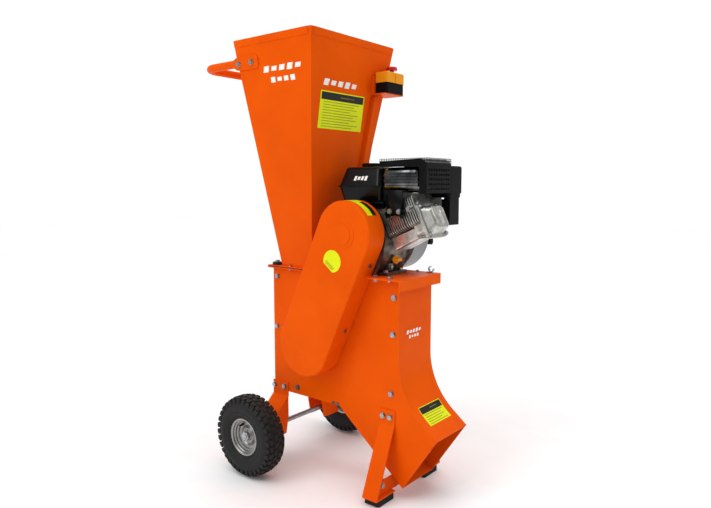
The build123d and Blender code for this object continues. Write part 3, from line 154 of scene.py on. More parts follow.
def makeFinish(name, look):
    # look: colour and tint, roughness range, specular, metallic, coat, edge wear and painted edge highlight
    # with their edge colour, dust, grain sizes and bump
    material = bpy.data.materials.new(name)
    material.use_nodes = True
    tree = material.node_tree
    shader = tree.nodes["Principled BSDF"]
    grain = useGroup(tree, grainGroup, Fine_Scale=look.get("fine", 900.0),
                     Broad_Scale=look.get("broad", 9.0))
    blotch = addNode(tree, "MapRange", {"From Min": 0.35, "From Max": 0.65},
                     {"Value": grain.outputs["Broad"]})
    color = mixColor(tree, look["color"], look.get("tint", look["color"]), blotch.outputs["Result"])
    # edges take the listed edge colour: bare metal where paint is rubbed, and on the orange paint a light
    # orange painted edge highlight
    if look.get("wearAndSheen"):
        wearAndSheen = useGroup(tree, wearAndSheenGroup, Radius=0.0012, Amount=look["wearAndSheen"])
        color = mixColor(tree, color, look.get("bareAndSheen", srgb(120, 112, 104)), wearAndSheen.outputs["Mask"])
    if look.get("dust"):
        dust = useGroup(tree, dustGroup, Amount=look["dust"])
        color = mixColor(tree, color, srgb(170, 155, 135), dust.outputs["Mask"])
    tree.links.new(color, shader.inputs["Base Color"])
    low, high = look["rough"]
    gloss = addNode(tree, "MapRange", {"From Min": 0.3, "From Max": 0.7, "To Min": low, "To Max": high},
                    {"Value": grain.outputs["Broad"]})
    tree.links.new(gloss.outputs["Result"], shader.inputs["Roughness"])
    bump = addNode(tree, "Bump", {"Strength": look.get("bump", 0.15), "Distance": 0.0004},
                   {"Height": grain.outputs["Fine"]})
    tree.links.new(bump.outputs["Normal"], shader.inputs["Normal"])
    shader.inputs["Metallic"].default_value = look.get("metal", 0.0)
    shader.inputs["Coat Weight"].default_value = look.get("coat", 0.0)
    shader.inputs["Coat Roughness"].default_value = 0.15
    shader.inputs["Specular IOR Level"].default_value = look.get("specular", 0.3)
    return material


finishLooks = {
    # the orange paint's light orange edge colour is a painted edge highlight, not rubbed-through paint
    "orange_paint": dict(color=srgb(241, 92, 3), tint=srgb(230, 84, 2), rough=(0.30, 0.42),
        wearAndSheen=0.45, specular=0.03, dust=0.02, fine=420.0, bump=0.10, broad=5.0,
        bareAndSheen=srgb(255, 150, 90)),
    "zinc": dict(color=srgb(186, 190, 194), tint=srgb(140, 143, 147), rough=(0.22, 0.38), metal=1.0,
        dust=0.05, fine=700.0, bump=0.12, broad=40.0),
    "black_rubber": dict(color=srgb(26, 26, 27), tint=srgb(36, 36, 36), rough=(0.65, 0.85),
        dust=0.08, fine=800.0, specular=0.2),
    "tyre_rubber": dict(color=srgb(29, 30, 30), tint=srgb(37, 38, 38), rough=(0.55, 0.75),
        dust=0.05, fine=600.0, bump=0.25, broad=30.0, specular=0.2),
    "rim_paint": dict(color=srgb(168, 168, 166), tint=srgb(138, 138, 137), rough=(0.24, 0.40),
        metal=0.85, coat=0.2, dust=0.06, wearAndSheen=0.3, fine=500.0, bareAndSheen=srgb(215, 214, 210)),
    "cast_aluminium": dict(color=srgb(218, 218, 212), tint=srgb(160, 159, 153), rough=(0.22, 0.42),
        metal=0.95, wearAndSheen=0.6, dust=0.05, fine=750.0, bump=0.06, broad=38.0, bareAndSheen=srgb(240, 238, 230)),
    "dark_casting": dict(color=srgb(138, 127, 117), tint=srgb(80, 72, 66), rough=(0.26, 0.48),
        metal=0.9, wearAndSheen=0.6, dust=0.05, fine=650.0, bump=0.22, broad=34.0, bareAndSheen=srgb(190, 180, 168)),
    "gloss_black": dict(color=srgb(7, 7, 8), tint=srgb(13, 13, 14), rough=(0.16, 0.28), coat=0.06,
        wearAndSheen=0.45, specular=0.14, dust=0.01, fine=400.0, bump=0.06, bareAndSheen=srgb(120, 122, 125)),
    "black_plastic": dict(color=srgb(11, 11, 12), tint=srgb(17, 17, 18), rough=(0.40, 0.55),
        dust=0.01, fine=1500.0, bump=0.35, specular=0.09),
    "steel": dict(color=srgb(175, 175, 176), tint=srgb(135, 135, 137), rough=(0.22, 0.4), metal=1.0,
        fine=900.0),
    "switch_yellow": dict(color=srgb(250, 166, 24), tint=srgb(243, 154, 16), rough=(0.38, 0.5),
        fine=1500.0, bump=0.2, specular=0.2),
    "button_red": dict(color=srgb(205, 20, 16), tint=srgb(190, 14, 12), rough=(0.2, 0.32), coat=0.4,
        fine=1200.0),
    "dipstick_yellow": dict(color=srgb(251, 166, 14), tint=srgb(240, 150, 8), rough=(0.3, 0.42),
        fine=1200.0, specular=0.2),
    "belt_rubber": dict(color=srgb(30, 30, 30), tint=srgb(42, 42, 42), rough=(0.6, 0.8), fine=900.0,
        specular=0.2),
    "muffler_steel": dict(color=srgb(120, 122, 124), tint=srgb(52, 53, 54), rough=(0.10, 0.22),
        metal=1.0, fine=500.0, coat=0.3, wearAndSheen=0.4, bump=0.1, broad=30.0, bareAndSheen=srgb(205, 208, 212)),
    "grey_cover": dict(color=srgb(146, 147, 150), tint=srgb(128, 129, 132), rough=(0.30, 0.45),
        metal=0.5, dust=0.05, fine=900.0),
}
finishes = {name: makeFinish(name, look) for name, look in finishLooks.items()}
printLooks = {
    "label_yellow": dict(color=srgb(232, 240, 20), tint=srgb(222, 232, 14), rough=(0.3, 0.4),
        fine=1500.0, bump=0.05, specular=0.15),
    "label_print": dict(color=srgb(120, 122, 20), tint=srgb(98, 100, 16), rough=(0.4, 0.5)),
    "label_black": dict(color=srgb(20, 20, 18), tint=srgb(26, 26, 24), rough=(0.3, 0.4)),
    "mark_white": dict(color=srgb(250, 246, 240), tint=srgb(244, 240, 232), rough=(0.35, 0.45)),
}
labelYellow, labelGrey, labelBlack, markWhite = [makeFinish(name, look) for name, look in printLooks.items()]

for nodeName, obj in nodes.items():
    obj.data.materials.clear()
    obj.data.materials.append(finishes[slots[nodeName]])
print("frame finishes assigned")


def clearSelection():
    if bpy.context.object and bpy.context.object.mode != "OBJECT":
        bpy.ops.object.mode_set(mode="OBJECT")
    bpy.ops.object.select_all(action="DESELECT")


def settle(obj, name, body, smoothAngle=35):
    # applies the object's place to its mesh and lets it ride with a body
    clearSelection()
    obj.select_set(True)
    bpy.context.view_layer.objects.active = obj
    bpy.ops.object.transform_apply(location=True, rotation=True, scale=True)
    bpy.ops.object.shade_smooth_by_angle(angle=math.radians(smoothAngle))
    obj.name = name
    obj.data.name = name
    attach(obj, body)
    return obj


def joinAll(objects):
    clearSelection()
    for obj in objects:
        obj.select_set(True)
    bpy.context.view_layer.objects.active = objects[0]
    if len(objects) > 1:
        bpy.ops.object.join()
    return objects[0]


def copyTurned(source, matrix):
    twin = source.copy()
    twin.data = source.data.copy()
    bpy.context.collection.objects.link(twin)
    twin.data.transform(matrix)
    return twin


def spinProfile(points, center, steps):
    # points are (radius, offset along Y) from the wheel's middle, drawn one by one and spun round Y
    clearSelection()
    first = Vector(center) + Vector((points[0][0], points[0][1], 0))
    bpy.ops.mesh.primitive_plane_add(size=0.002, location=first)
    obj = bpy.context.object
    bpy.ops.object.transform_apply(location=True)
    bpy.ops.object.mode_set(mode="EDIT")
    bpy.ops.mesh.select_all(action="SELECT")
    bpy.ops.mesh.merge(type="CENTER")
    for before, after in zip(points, points[1:]):
        step = (after[0] - before[0], after[1] - before[1], 0)
        bpy.ops.mesh.extrude_region_move(TRANSFORM_OT_translate={"value": step})
    bpy.ops.mesh.select_all(action="SELECT")
    bpy.ops.mesh.spin(steps=steps, angle=2 * math.pi, center=center, axis=(0, 1, 0))
    bpy.ops.mesh.select_all(action="SELECT")
    bpy.ops.mesh.remove_doubles(threshold=0.00002)
    bpy.ops.mesh.normals_make_consistent(inside=False)
    bpy.ops.object.mode_set(mode="OBJECT")
    return obj


def selectWhole(obj):
    # opens the object in edit mode with everything selected
    clearSelection()
    obj.select_set(True)
    bpy.context.view_layer.objects.active = obj
    bpy.ops.object.mode_set(mode="EDIT")
    bpy.ops.mesh.select_all(action="SELECT")


def softenEdges(obj, offset, segments=2):
    selectWhole(obj)
    bpy.ops.mesh.bevel(offset=offset, segments=segments, affect="EDGES")
    bpy.ops.object.mode_set(mode="OBJECT")
    return obj


def roundedBlock(size, location, bevel, segments=2):
    clearSelection()
    bpy.ops.mesh.primitive_cube_add(size=1, location=location)
    obj = bpy.context.object
    obj.scale = size
    bpy.ops.object.transform_apply(location=True, scale=True)
    return softenEdges(obj, bevel, segments)


def cutBlock(low, high, bevel, segments=2):
    # rounded block between two corners
    low, high = Vector(low), Vector(high)
    return roundedBlock(tuple(high - low), (low + high) / 2, bevel, segments)


def repaint(obj, *names):
    obj.data.materials.clear()
    for name in names:
        obj.data.materials.append(finishes[name])


tyre = {"tread": 0.1245, "beadRadius": 0.0565, "blocks": 34, "blockHeight": 0.0070, "blockWidth": 0.0125,
        "rows": (-0.0225, -0.0075, 0.0075, 0.0225), "crown": 0.0105, "sink": 0.0002,
        "lug": (0.0075, 0.0140), "lugDrop": 0.0125, "steps": 102}


def makeTyre(side, nodeName, body):
    # carcass with a beaded side wall, four rows of tread blocks and shoulder lugs on both edges
    low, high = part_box(nodeName)
    center = (low + high) / 2
    half = (high.y - low.y) / 2
    tread, bead = tyre["tread"], tyre["beadRadius"]
    outline = [(bead, -half * 0.70), (bead + 0.003, -half * 0.78), (bead + 0.007, -half * 0.83),
               (bead + 0.009, -half * 0.80), (bead + 0.012, -half * 0.88), (bead + 0.022, -half * 0.96),
               (bead + 0.024, -half * 0.935), (bead + 0.026, -half * 0.97), (bead + 0.036, -half * 0.99),
               (tread - 0.024, -half * 0.95), (tread - 0.014, -half * 0.84), (tread - 0.006, -half * 0.64),
               (tread - 0.002, -half * 0.42), (tread, -half * 0.2)]
    outline = outline + [(radius, -offset) for radius, offset in reversed(outline)]
    carcass = spinProfile(outline + [outline[0]], center, tyre["steps"])
    pitch = 2 * math.pi / tyre["blocks"]
    length = 2 * math.pi * tread / tyre["blocks"]
    pieces = [carcass]
    for index, offset in enumerate(tyre["rows"]):
        size = (length * 0.66, tyre["blockWidth"], tyre["blockHeight"])
        drop = (offset / half) ** 2 * tyre["crown"]
        top = center.z + tread - tyre["sink"] - drop
        stamp = roundedBlock(size, (center.x, center.y + offset, top), 0.0011)
        for number in range(tyre["blocks"]):
            turn = Matrix.Rotation((number + index % 2 * 0.5) * pitch, 4, "Y")
            matrix = Matrix.Translation(center) @ turn @ Matrix.Translation(-center)
            pieces.append(copyTurned(stamp, matrix))
        bpy.data.objects.remove(stamp)
    for edge in (-1, 1):  # shoulder lugs that run down the side wall
        place = (center.x, center.y + edge * half * 0.83, center.z + tread - tyre["lugDrop"])
        lug = roundedBlock((length * 0.55, *tyre["lug"]), place, 0.0012)
        for number in range(tyre["blocks"]):
            turn = Matrix.Rotation((number + 0.25) * pitch, 4, "Y")
            pieces.append(copyTurned(lug, Matrix.Translation(center) @ turn @ Matrix.Translation(-center)))
        bpy.data.objects.remove(lug)
    wheel = joinAll(pieces)
    repaint(wheel, "tyre_rubber")
    settle(wheel, f"treadedTyre{side}", body)
    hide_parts(nodeName)


rimDish = {"outer": 0.0565, "bore": 0.0085, "hubFront": 0.0142, "hubBack": -0.0320, "steps": 72,
           "valveTurn": 2.2, "valveAt": (0.038, 0.014), "valveSize": (0.0036, 0.020)}


def makeRim(side, nodeName, body):
    # pressed steel rim: stepped rings that drop to a raised hub, the same on both faces
    low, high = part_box(nodeName)
    tyreLow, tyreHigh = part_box("tyre_" + side.lower())
    center = Vector(((low.x + high.x) / 2, (tyreLow.y + tyreHigh.y) / 2, (low.z + high.z) / 2))
    facing = -1 if side == "Right" else 1
    outer, bore = rimDish["outer"], rimDish["bore"]
    hubFront, hubBack = rimDish["hubFront"], rimDish["hubBack"]
    profiles = {
        "front": [(outer, 0.0262), (outer + 0.0022, 0.0272), (outer + 0.0020, 0.0285),
                  (outer - 0.0020, 0.0288), (outer - 0.0045, 0.0270), (outer - 0.0055, 0.0225),
                  (outer - 0.0090, 0.0205),
                  (outer - 0.0105, 0.0150), (outer - 0.0150, 0.0135), (outer - 0.0170, 0.0085),
                  (outer - 0.0230, 0.0070), (outer - 0.0260, 0.0035), (outer - 0.0300, 0.0060),
                  (outer - 0.0330, 0.0105), (0.0190, 0.0110), (0.0170, 0.0140), (0.0120, hubFront),
                  (bore, hubFront)],
        "rear": [(bore, hubBack), (0.0160, hubBack), (0.0160, -0.0010), (0.0280, -0.0030),
                 (outer - 0.0085, -0.0060), (outer - 0.0055, -0.0120), (outer - 0.0045, -0.0262),
                 (outer + 0.0022, -0.0272), (outer, -0.0250)],
        "bore": [(bore, hubBack), (bore, hubFront)],
        "drum": [(outer, -0.0250), (outer - 0.0005, 0.0262)],
    }
    parts = []
    for outline in profiles.values():
        turned = [(radius, offset * facing) for radius, offset in outline]
        parts.append(spinProfile(turned, center, rimDish["steps"]))
        repaint(parts[-1], "rim_paint")
    angle = rimDish["valveTurn"]
    reach, outward = rimDish["valveAt"]
    radius, length = rimDish["valveSize"]
    clearSelection()
    stem = center + Vector((math.cos(angle) * reach, outward * facing, math.sin(angle) * reach))
    bpy.ops.mesh.primitive_cylinder_add(vertices=20, radius=radius, depth=length, location=stem,
                                        rotation=(math.pi / 2, 0, 0))
    valve = softenEdges(bpy.context.object, 0.0010)
    bpy.ops.object.transform_apply(location=True, rotation=True)
    repaint(valve, "black_rubber")
    rim = joinAll(parts + [valve])
    settle(rim, f"pressedRim{side}", body, smoothAngle=28)
    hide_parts(nodeName)


makeRim("Right", "wheel_rim_right", "right_wheel")
makeRim("Left", "wheel_rim_left", "left_wheel")
print("rims done")
makeTyre("Right", "tyre_right", "right_wheel")
makeTyre("Left", "tyre_left", "left_wheel")
print("tyres done")


decal = {"lift": 0.0004, "layer": 0.0002}


def facePlate(origin, across, up, size, layer, material, corners=0.0, shape=None, wrapOn=None, slant=0.0):
    # thin plate on a face: origin is its centre, and wrapOn names a node whose surface it follows
    clearSelection()
    across, up = Vector(across).normalized(), Vector(up).normalized()
    out = across.cross(up)
    bpy.ops.mesh.primitive_plane_add(size=1)
    obj = bpy.context.object
    bpy.ops.object.mode_set(mode="EDIT")
    bpy.ops.mesh.select_all(action="SELECT")
    bpy.ops.transform.resize(value=(size[0], size[1], 1))
    if corners:
        bpy.ops.mesh.bevel(offset=corners, segments=5, affect="VERTICES")
    if wrapOn and not corners and not shape:
        bpy.ops.mesh.subdivide(number_cuts=10)
    bpy.ops.object.mode_set(mode="OBJECT")
    for vertex in obj.data.vertices:
        vertex.co.x += slant * vertex.co.y
        vertex.select = vertex.co.y > 0
    if shape == "triangle":
        bpy.ops.object.mode_set(mode="EDIT")
        bpy.ops.mesh.merge(type="CENTER")
        bpy.ops.object.mode_set(mode="OBJECT")
    lift = decal["lift"] * 0.25 + layer * decal["layer"]
    turn = Matrix((across, up, out)).transposed().to_4x4()
    obj.data.transform(Matrix.Translation(Vector(origin) + out * lift) @ turn)
    if wrapOn:
        wrap = obj.modifiers.new("wrap", "SHRINKWRAP")
        wrap.target = nodes[wrapOn]
        wrap.wrap_mode = "ABOVE_SURFACE"
        wrap.offset = lift + decal["layer"]
        bpy.ops.object.modifier_apply(modifier=wrap.name)
    solid = obj.modifiers.new("thickness", "SOLIDIFY")
    solid.thickness = decal["layer"]
    solid.offset = 1
    bpy.ops.object.modifier_apply(modifier=solid.name)
    obj.data.materials.append(material)
    return obj


def placeOn(origin, across, up, right, high):
    # point on a face from its centre
    return Vector(origin) + Vector(across).normalized() * right + Vector(up).normalized() * high


def noticeLabel(name, origin, across, up, size, lines, body="chassis", wrapOn=None):
    # plain yellow notice: black header with a small triangle, then rows of grey bars that stand for print
    width, height = size
    parts = [facePlate(origin, across, up, size, 0, labelYellow, wrapOn=wrapOn)]
    band = 0.20 if lines > 6 else 0.32
    header = placeOn(origin, across, up, 0, height * (0.47 - band / 2))
    bar = (width * 0.96, height * band)
    parts.append(facePlate(header, across, up, bar, 1, labelBlack, wrapOn=wrapOn))
    sign = placeOn(header, across, up, -width * 0.16, 0)
    parts.append(facePlate(sign, across, up, (height * band * 0.7, height * band * 0.6), 2, labelYellow,
                           shape="triangle", wrapOn=wrapOn))
    dash = placeOn(header, across, up, width * 0.10, 0)
    line = (width * 0.32, height * band * 0.14)
    parts.append(facePlate(dash, across, up, line, 2, labelGrey, wrapOn=wrapOn))
    step = (0.92 - band) / lines
    for number in range(lines):
        wide = (0.82, 0.70, 0.78, 0.62)[number % 4] * width
        rise = height * (0.45 - band - step * (number + 0.5))
        spot = placeOn(origin, across, up, (wide - width * 0.86) / 2, rise)
        row = (wide, height * step * 0.20)
        parts.append(facePlate(spot, across, up, row, 1, labelGrey, wrapOn=wrapOn))
    return settle(joinAll(parts), name, body)


def paintedMark(name, origin, across, up, size, blocks, slant=0.3, wrapOn=None):
    # plain row of slanted white blocks in place of any lettering
    width, height = size
    pitch = width / blocks
    parts = []
    for number in range(blocks):
        spot = placeOn(origin, across, up, (number - (blocks - 1) / 2) * pitch, 0)
        tall = height * (1.0, 0.72, 0.86)[number % 3]
        parts.append(facePlate(spot, across, up, (pitch * 0.66, tall), 1, markWhite, slant=slant,
                               wrapOn=wrapOn))
    return settle(joinAll(parts), name, "chassis")


hopperWall = {"footZ": 0.651, "rise": 0.706, "frontFoot": -0.031, "frontRun": 0.108,
              "sideFoot": -0.084, "sideRun": 0.115}
frontLean = math.atan2(hopperWall["frontRun"], hopperWall["rise"])
frontUp = (math.sin(frontLean), 0, math.cos(frontLean))
sideLean = math.atan2(hopperWall["sideRun"], hopperWall["rise"])
sideUp = (0, -math.sin(sideLean), math.cos(sideLean))
alongX, alongY, upward = (1, 0, 0), (0, 1, 0), (0, 0, 1)


def hopperFrontPoint(y, z):
    # point on the hopper's front wall, which leans out from its foot
    return Vector((hopperWall["frontFoot"] + (z - hopperWall["footZ"]) * math.tan(frontLean), y, z))


def hopperSidePoint(x, z):
    # point on the hopper's right-hand wall, which leans out the same way
    return Vector((x, hopperWall["sideFoot"] - (z - hopperWall["footZ"]) * math.tan(sideLean), z))


noticeLabel("hopperLabel", hopperFrontPoint(-0.026, 1.137), alongY, frontUp, (0.205, 0.110), 10)
paintedMark("hopperFrontMark", hopperFrontPoint(-0.045, 1.216), alongY, frontUp, (0.160, 0.019), 5)
paintedMark("hopperSideMark", hopperSidePoint(-0.054, 1.260), alongX, sideUp, (0.163, 0.018), 5)
paintedMark("hopperSideMarkLow", hopperSidePoint(-0.055, 1.228), alongX, sideUp, (0.108, 0.016), 4, slant=0.0)
paintedMark("chuteMark", (0.3035, -0.010, 0.491), alongY, upward, (0.078, 0.011), 5)
paintedMark("chuteMarkLow", (0.3035, -0.010, 0.476), alongY, upward, (0.054, 0.009), 4, slant=0.0)
paintedMark("tankMark", (0.141, -0.068, 0.938), alongX, upward, (0.052, 0.014), 4, wrapOn="fuel_tank")


coverDisc = {"radius": 0.033, "cut": -0.025, "middle": (0.113, 0.694), "sheet": 0.003,
             "across": (0.78, 0, -0.625), "up": (0.625, 0, 0.78)}


def semiLabel():
    # half-disc label on the belt cover's face
    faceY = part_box("belt_cover")[0].y + coverDisc["sheet"]
    clearSelection()
    bpy.ops.mesh.primitive_circle_add(vertices=48, radius=coverDisc["radius"], fill_type="NGON")
    obj = bpy.context.object
    bpy.ops.object.mode_set(mode="EDIT")
    bpy.ops.mesh.select_all(action="SELECT")
    bpy.ops.mesh.bisect(plane_co=(0, coverDisc["cut"], 0), plane_no=(0, 1, 0), clear_inner=True,
                        use_fill=False)
    bpy.ops.mesh.select_all(action="SELECT")
    bpy.ops.mesh.extrude_region_move(TRANSFORM_OT_translate={"value": (0, 0, decal["layer"])})
    bpy.ops.mesh.select_all(action="SELECT")
    bpy.ops.mesh.normals_make_consistent(inside=False)
    bpy.ops.object.mode_set(mode="OBJECT")
    across, up = Vector(coverDisc["across"]), Vector(coverDisc["up"])
    middle = Vector((coverDisc["middle"][0], faceY, coverDisc["middle"][1]))
    turn = Matrix((across, up, across.cross(up))).transposed().to_4x4()
    obj.data.transform(Matrix.Translation(middle + across.cross(up) * 0.0001) @ turn)
    obj.data.materials.append(labelYellow)
    sign = facePlate(middle + up * 0.004, across, up, (0.026, 0.024), 1, labelBlack, shape="triangle")
    core = facePlate(middle + up * 0.003, across, up, (0.015, 0.013), 2, labelYellow, shape="triangle")
    parts = [obj, sign, core]
    for number in range(3):
        spot = middle - up * (0.012 + 0.004 * number)
        parts.append(facePlate(spot, across, up, (0.040 - 0.004 * number, 0.0014), 1, labelGrey))
    return settle(joinAll(parts), "coverLabel", "chassis")


semiLabel()

coverStrip = {"middle": (0.152, 0, 0.774), "radius": 0.0972, "start": 35, "end": 98, "blackBelow": 74,
              "yLow": -0.138, "yHigh": -0.098, "bar": 0.55, "thick": 0.0003}


def curvedStrip():
    # label that follows the round end of the belt cover
    crank = Vector(coverStrip["middle"])
    clearSelection()
    bpy.ops.mesh.primitive_plane_add(size=0.002, location=crank)
    obj = bpy.context.object
    bpy.ops.object.transform_apply(location=True)
    bpy.ops.object.mode_set(mode="EDIT")
    bpy.ops.mesh.select_all(action="SELECT")
    bpy.ops.mesh.merge(type="CENTER")
    start = math.radians(coverStrip["start"])
    first = Vector((math.cos(start), 0, math.sin(start))) * coverStrip["radius"]
    first.y = coverStrip["yLow"]
    bpy.ops.transform.translate(value=first)
    width = coverStrip["yHigh"] - coverStrip["yLow"]
    for share in (coverStrip["bar"], 1 - coverStrip["bar"]):
        bpy.ops.mesh.extrude_region_move(TRANSFORM_OT_translate={"value": (0, width * share, 0)})
    bpy.ops.mesh.select_all(action="SELECT")
    sweep = math.radians(coverStrip["end"] - coverStrip["start"])
    bpy.ops.mesh.spin(steps=20, angle=sweep, center=crank, axis=(0, 1, 0))
    bpy.ops.mesh.select_all(action="SELECT")
    bpy.ops.mesh.remove_doubles(threshold=0.00002)
    bpy.ops.object.mode_set(mode="OBJECT")
    solid = obj.modifiers.new("thickness", "SOLIDIFY")
    solid.thickness = coverStrip["thick"]
    bpy.ops.object.modifier_apply(modifier=solid.name)
    obj.data.materials.append(labelYellow)
    obj.data.materials.append(labelBlack)
    split = coverStrip["yLow"] + width * coverStrip["bar"]
    for face in obj.data.polygons:
        angle = math.degrees(math.atan2(face.center.z - crank.z, face.center.x - crank.x))
        if face.center.y > split and angle < coverStrip["blackBelow"]:
            face.material_index = 1
    return settle(obj, "coverStripLabel", "chassis")


curvedStrip()
noticeLabel("chuteLabel", (0.3770, 0.000, 0.2610), alongY, (-0.70, 0, 0.714), (0.112, 0.060), 5,
            wrapOn="chute_front_sheet")
print("labels done")


mufflerShell = {"grow": 0.0015, "edge": 0.016,
                "ridges": ((0.906, 0.913), (0.922, 0.929), (0.938, 0.945)),
                "ridge": 0.0022, "shoulder": 0.0015}


def makeMuffler():
    # pressed muffler body with three ridges that run all the way round
    low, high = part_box("muffler")
    grow = mufflerShell["grow"]
    size = (high.x - low.x, high.y - low.y - 2 * grow, high.z - low.z - 2 * grow)
    shell = roundedBlock(size, (low + high) / 2, mufflerShell["edge"], segments=4)
    shoulder = mufflerShell["shoulder"]
    selectWhole(shell)
    for bottom, top in mufflerShell["ridges"]:
        for level in (bottom - shoulder, bottom, top, top + shoulder):
            bpy.ops.mesh.select_all(action="SELECT")
            bpy.ops.mesh.bisect(plane_co=(0, 0, level), plane_no=(0, 0, 1))
    for bottom, top in mufflerShell["ridges"]:
        bpy.ops.mesh.select_all(action="DESELECT")
        bpy.ops.object.mode_set(mode="OBJECT")
        for face in shell.data.polygons:
            face.select = bottom < face.center.z < top and abs(face.normal.z) < 0.9
        bpy.ops.object.mode_set(mode="EDIT")
        bpy.ops.transform.shrink_fatten(value=mufflerShell["ridge"])
    bpy.ops.object.mode_set(mode="OBJECT")
    repaint(shell, "muffler_steel")
    settle(shell, "mufflerShell", "chassis", smoothAngle=40)
    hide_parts("muffler")


engineMounts = {"plate": (0.249, 0.303), "plateLow": 0.8285, "plateTop": 0.9000,
                "plateY": (-0.0730, -0.0700), "round": 0.009, "shelfY": -0.045, "shelf": 0.004,
                "boltX": (0.260, 0.292), "spacerY": -0.067, "boltZ": 0.840, "spacer": (0.007, 0.006),
                "saddle": (0.096, 0.206), "saddleY": (-0.030, 0.040), "saddleLow": 0.8437}


def makeEngineMounts():
    # muffler bracket below the muffler, and the dark saddle that carries the tank
    plate, faces, foot = engineMounts["plate"], engineMounts["plateY"], engineMounts["plateLow"]
    bracket = cutBlock((plate[0], faces[0], foot), (plate[1], faces[1], engineMounts["plateTop"]), 0.001)
    selectWhole(bracket)
    bpy.ops.mesh.select_all(action="DESELECT")
    bpy.ops.object.mode_set(mode="OBJECT")
    for edge in bracket.data.edges:
        ends = [bracket.data.vertices[index].co for index in edge.vertices]
        crosswise = abs(ends[0].y - ends[1].y) > 0.0008 and abs(ends[0].z - ends[1].z) < 0.0002
        edge.select = crosswise and abs(ends[0].z - foot) < 0.0015
    bpy.ops.object.mode_set(mode="EDIT")
    bpy.ops.mesh.bevel(offset=engineMounts["round"], segments=5, affect="EDGES")
    bpy.ops.object.mode_set(mode="OBJECT")
    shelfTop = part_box("muffler")[0].z
    shelfLow = shelfTop - engineMounts["shelf"]
    shelf = cutBlock((plate[0], faces[1], shelfLow), (plate[1], engineMounts["shelfY"], shelfTop), 0.0008)
    parts = [bracket, shelf]
    radius, depth = engineMounts["spacer"]
    for x in engineMounts["boltX"]:
        clearSelection()
        place = (x, engineMounts["spacerY"], engineMounts["boltZ"])
        bpy.ops.mesh.primitive_cylinder_add(vertices=32, radius=radius, depth=depth, location=place,
                                            rotation=(math.pi / 2, 0, 0))
        parts.append(softenEdges(bpy.context.object, 0.0006))
        bpy.ops.object.transform_apply(location=True, rotation=True)
    saddle, saddleY = engineMounts["saddle"], engineMounts["saddleY"]
    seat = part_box("fuel_tank")[0].z
    saddleLow = engineMounts["saddleLow"]
    parts.append(cutBlock((saddle[0], saddleY[0], saddleLow), (saddle[1], saddleY[1], seat), 0.0015))
    for part in parts:
        repaint(part, "gloss_black")
    whole = joinAll(parts)
    settle(whole, "engineMountPlates", "chassis")
    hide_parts("engine_brackets")


headDetail = {"crank": (0.152, -0.010, 0.765), "tilt": 25.0, "center": -0.042, "flange": 0.2140,
              "crown": 0.2412, "corner": (0.0425, 0.0430), "bolt": 0.0050, "head": 0.0060,
              "washer": 0.0014, "panel": (0.030, 0.040, 0.0030), "panelAt": (-0.011, -0.008),
              "rings": (0.0105, 0.0060), "wire": 0.0011, "ringsAt": (0.015, 0.014)}


def tiltedSpot(distance, side, lift):
    # point on the leaning cylinder: distance from the crankshaft, then sideways and up in the cover's plane
    turn = math.radians(headDetail["tilt"])
    along = Vector((math.cos(turn), 0, math.sin(turn)))
    rise = Vector((-math.sin(turn), 0, math.cos(turn)))
    x, y, z = headDetail["crank"]
    return Vector((x, y + side, z)) + along * distance + rise * (headDetail["center"] + lift)


def leanPiece(piece, spot):
    # lays a piece made along Z on the leaning plane of the cover
    turn = Matrix.Rotation(math.radians(90 - headDetail["tilt"]), 4, "Y")
    piece.data.transform(Matrix.Translation(spot) @ turn)


def makeHeadDetail():
    # cover bolts with washers, a raised panel and two pressed rings on the valve cover
    parts = []
    across, rise = headDetail["corner"]
    half = headDetail["head"] / 2
    for side in (-1, 1):
        for lift in (-1, 1):
            clearSelection()
            bpy.ops.mesh.primitive_cylinder_add(vertices=6, radius=headDetail["bolt"],
                                                depth=headDetail["head"], location=(0, 0, 0))
            head = bpy.context.object
            selectWhole(head)
            bpy.ops.mesh.bevel(offset=0.0006, segments=2, affect="EDGES")
            bpy.ops.mesh.primitive_cylinder_add(vertices=28, radius=headDetail["bolt"] * 1.45,
                                                depth=headDetail["washer"], location=(0, 0, -half))
            bpy.ops.object.mode_set(mode="OBJECT")
            leanPiece(head, tiltedSpot(headDetail["flange"] + half, side * across, lift * rise))
            repaint(head, "zinc")
            parts.append(head)
    panel = roundedBlock(headDetail["panel"], (0, 0, 0), 0.0013)
    leanPiece(panel, tiltedSpot(headDetail["crown"], *headDetail["panelAt"]))
    repaint(panel, "cast_aluminium")
    parts.append(panel)
    for radius in headDetail["rings"]:
        clearSelection()
        bpy.ops.mesh.primitive_torus_add(major_radius=radius, minor_radius=headDetail["wire"],
                                         major_segments=40, minor_segments=8, location=(0, 0, 0))
        ring = bpy.context.object
        selectWhole(ring)
        bpy.ops.transform.resize(value=(1, 1, 0.8))
        bpy.ops.object.mode_set(mode="OBJECT")
        leanPiece(ring, tiltedSpot(headDetail["crown"], *headDetail["ringsAt"]))
        repaint(ring, "cast_aluminium")
        parts.append(ring)
    settle(joinAll(parts), "valveCoverDetail", "chassis")


guardStrip = {"low": 0.9735, "high": 0.9885, "cells": 2, "pitch": 0.0060, "web": 0.0011, "thick": 0.0010,
              "overhang": 0.002, "inset": 0.0008}


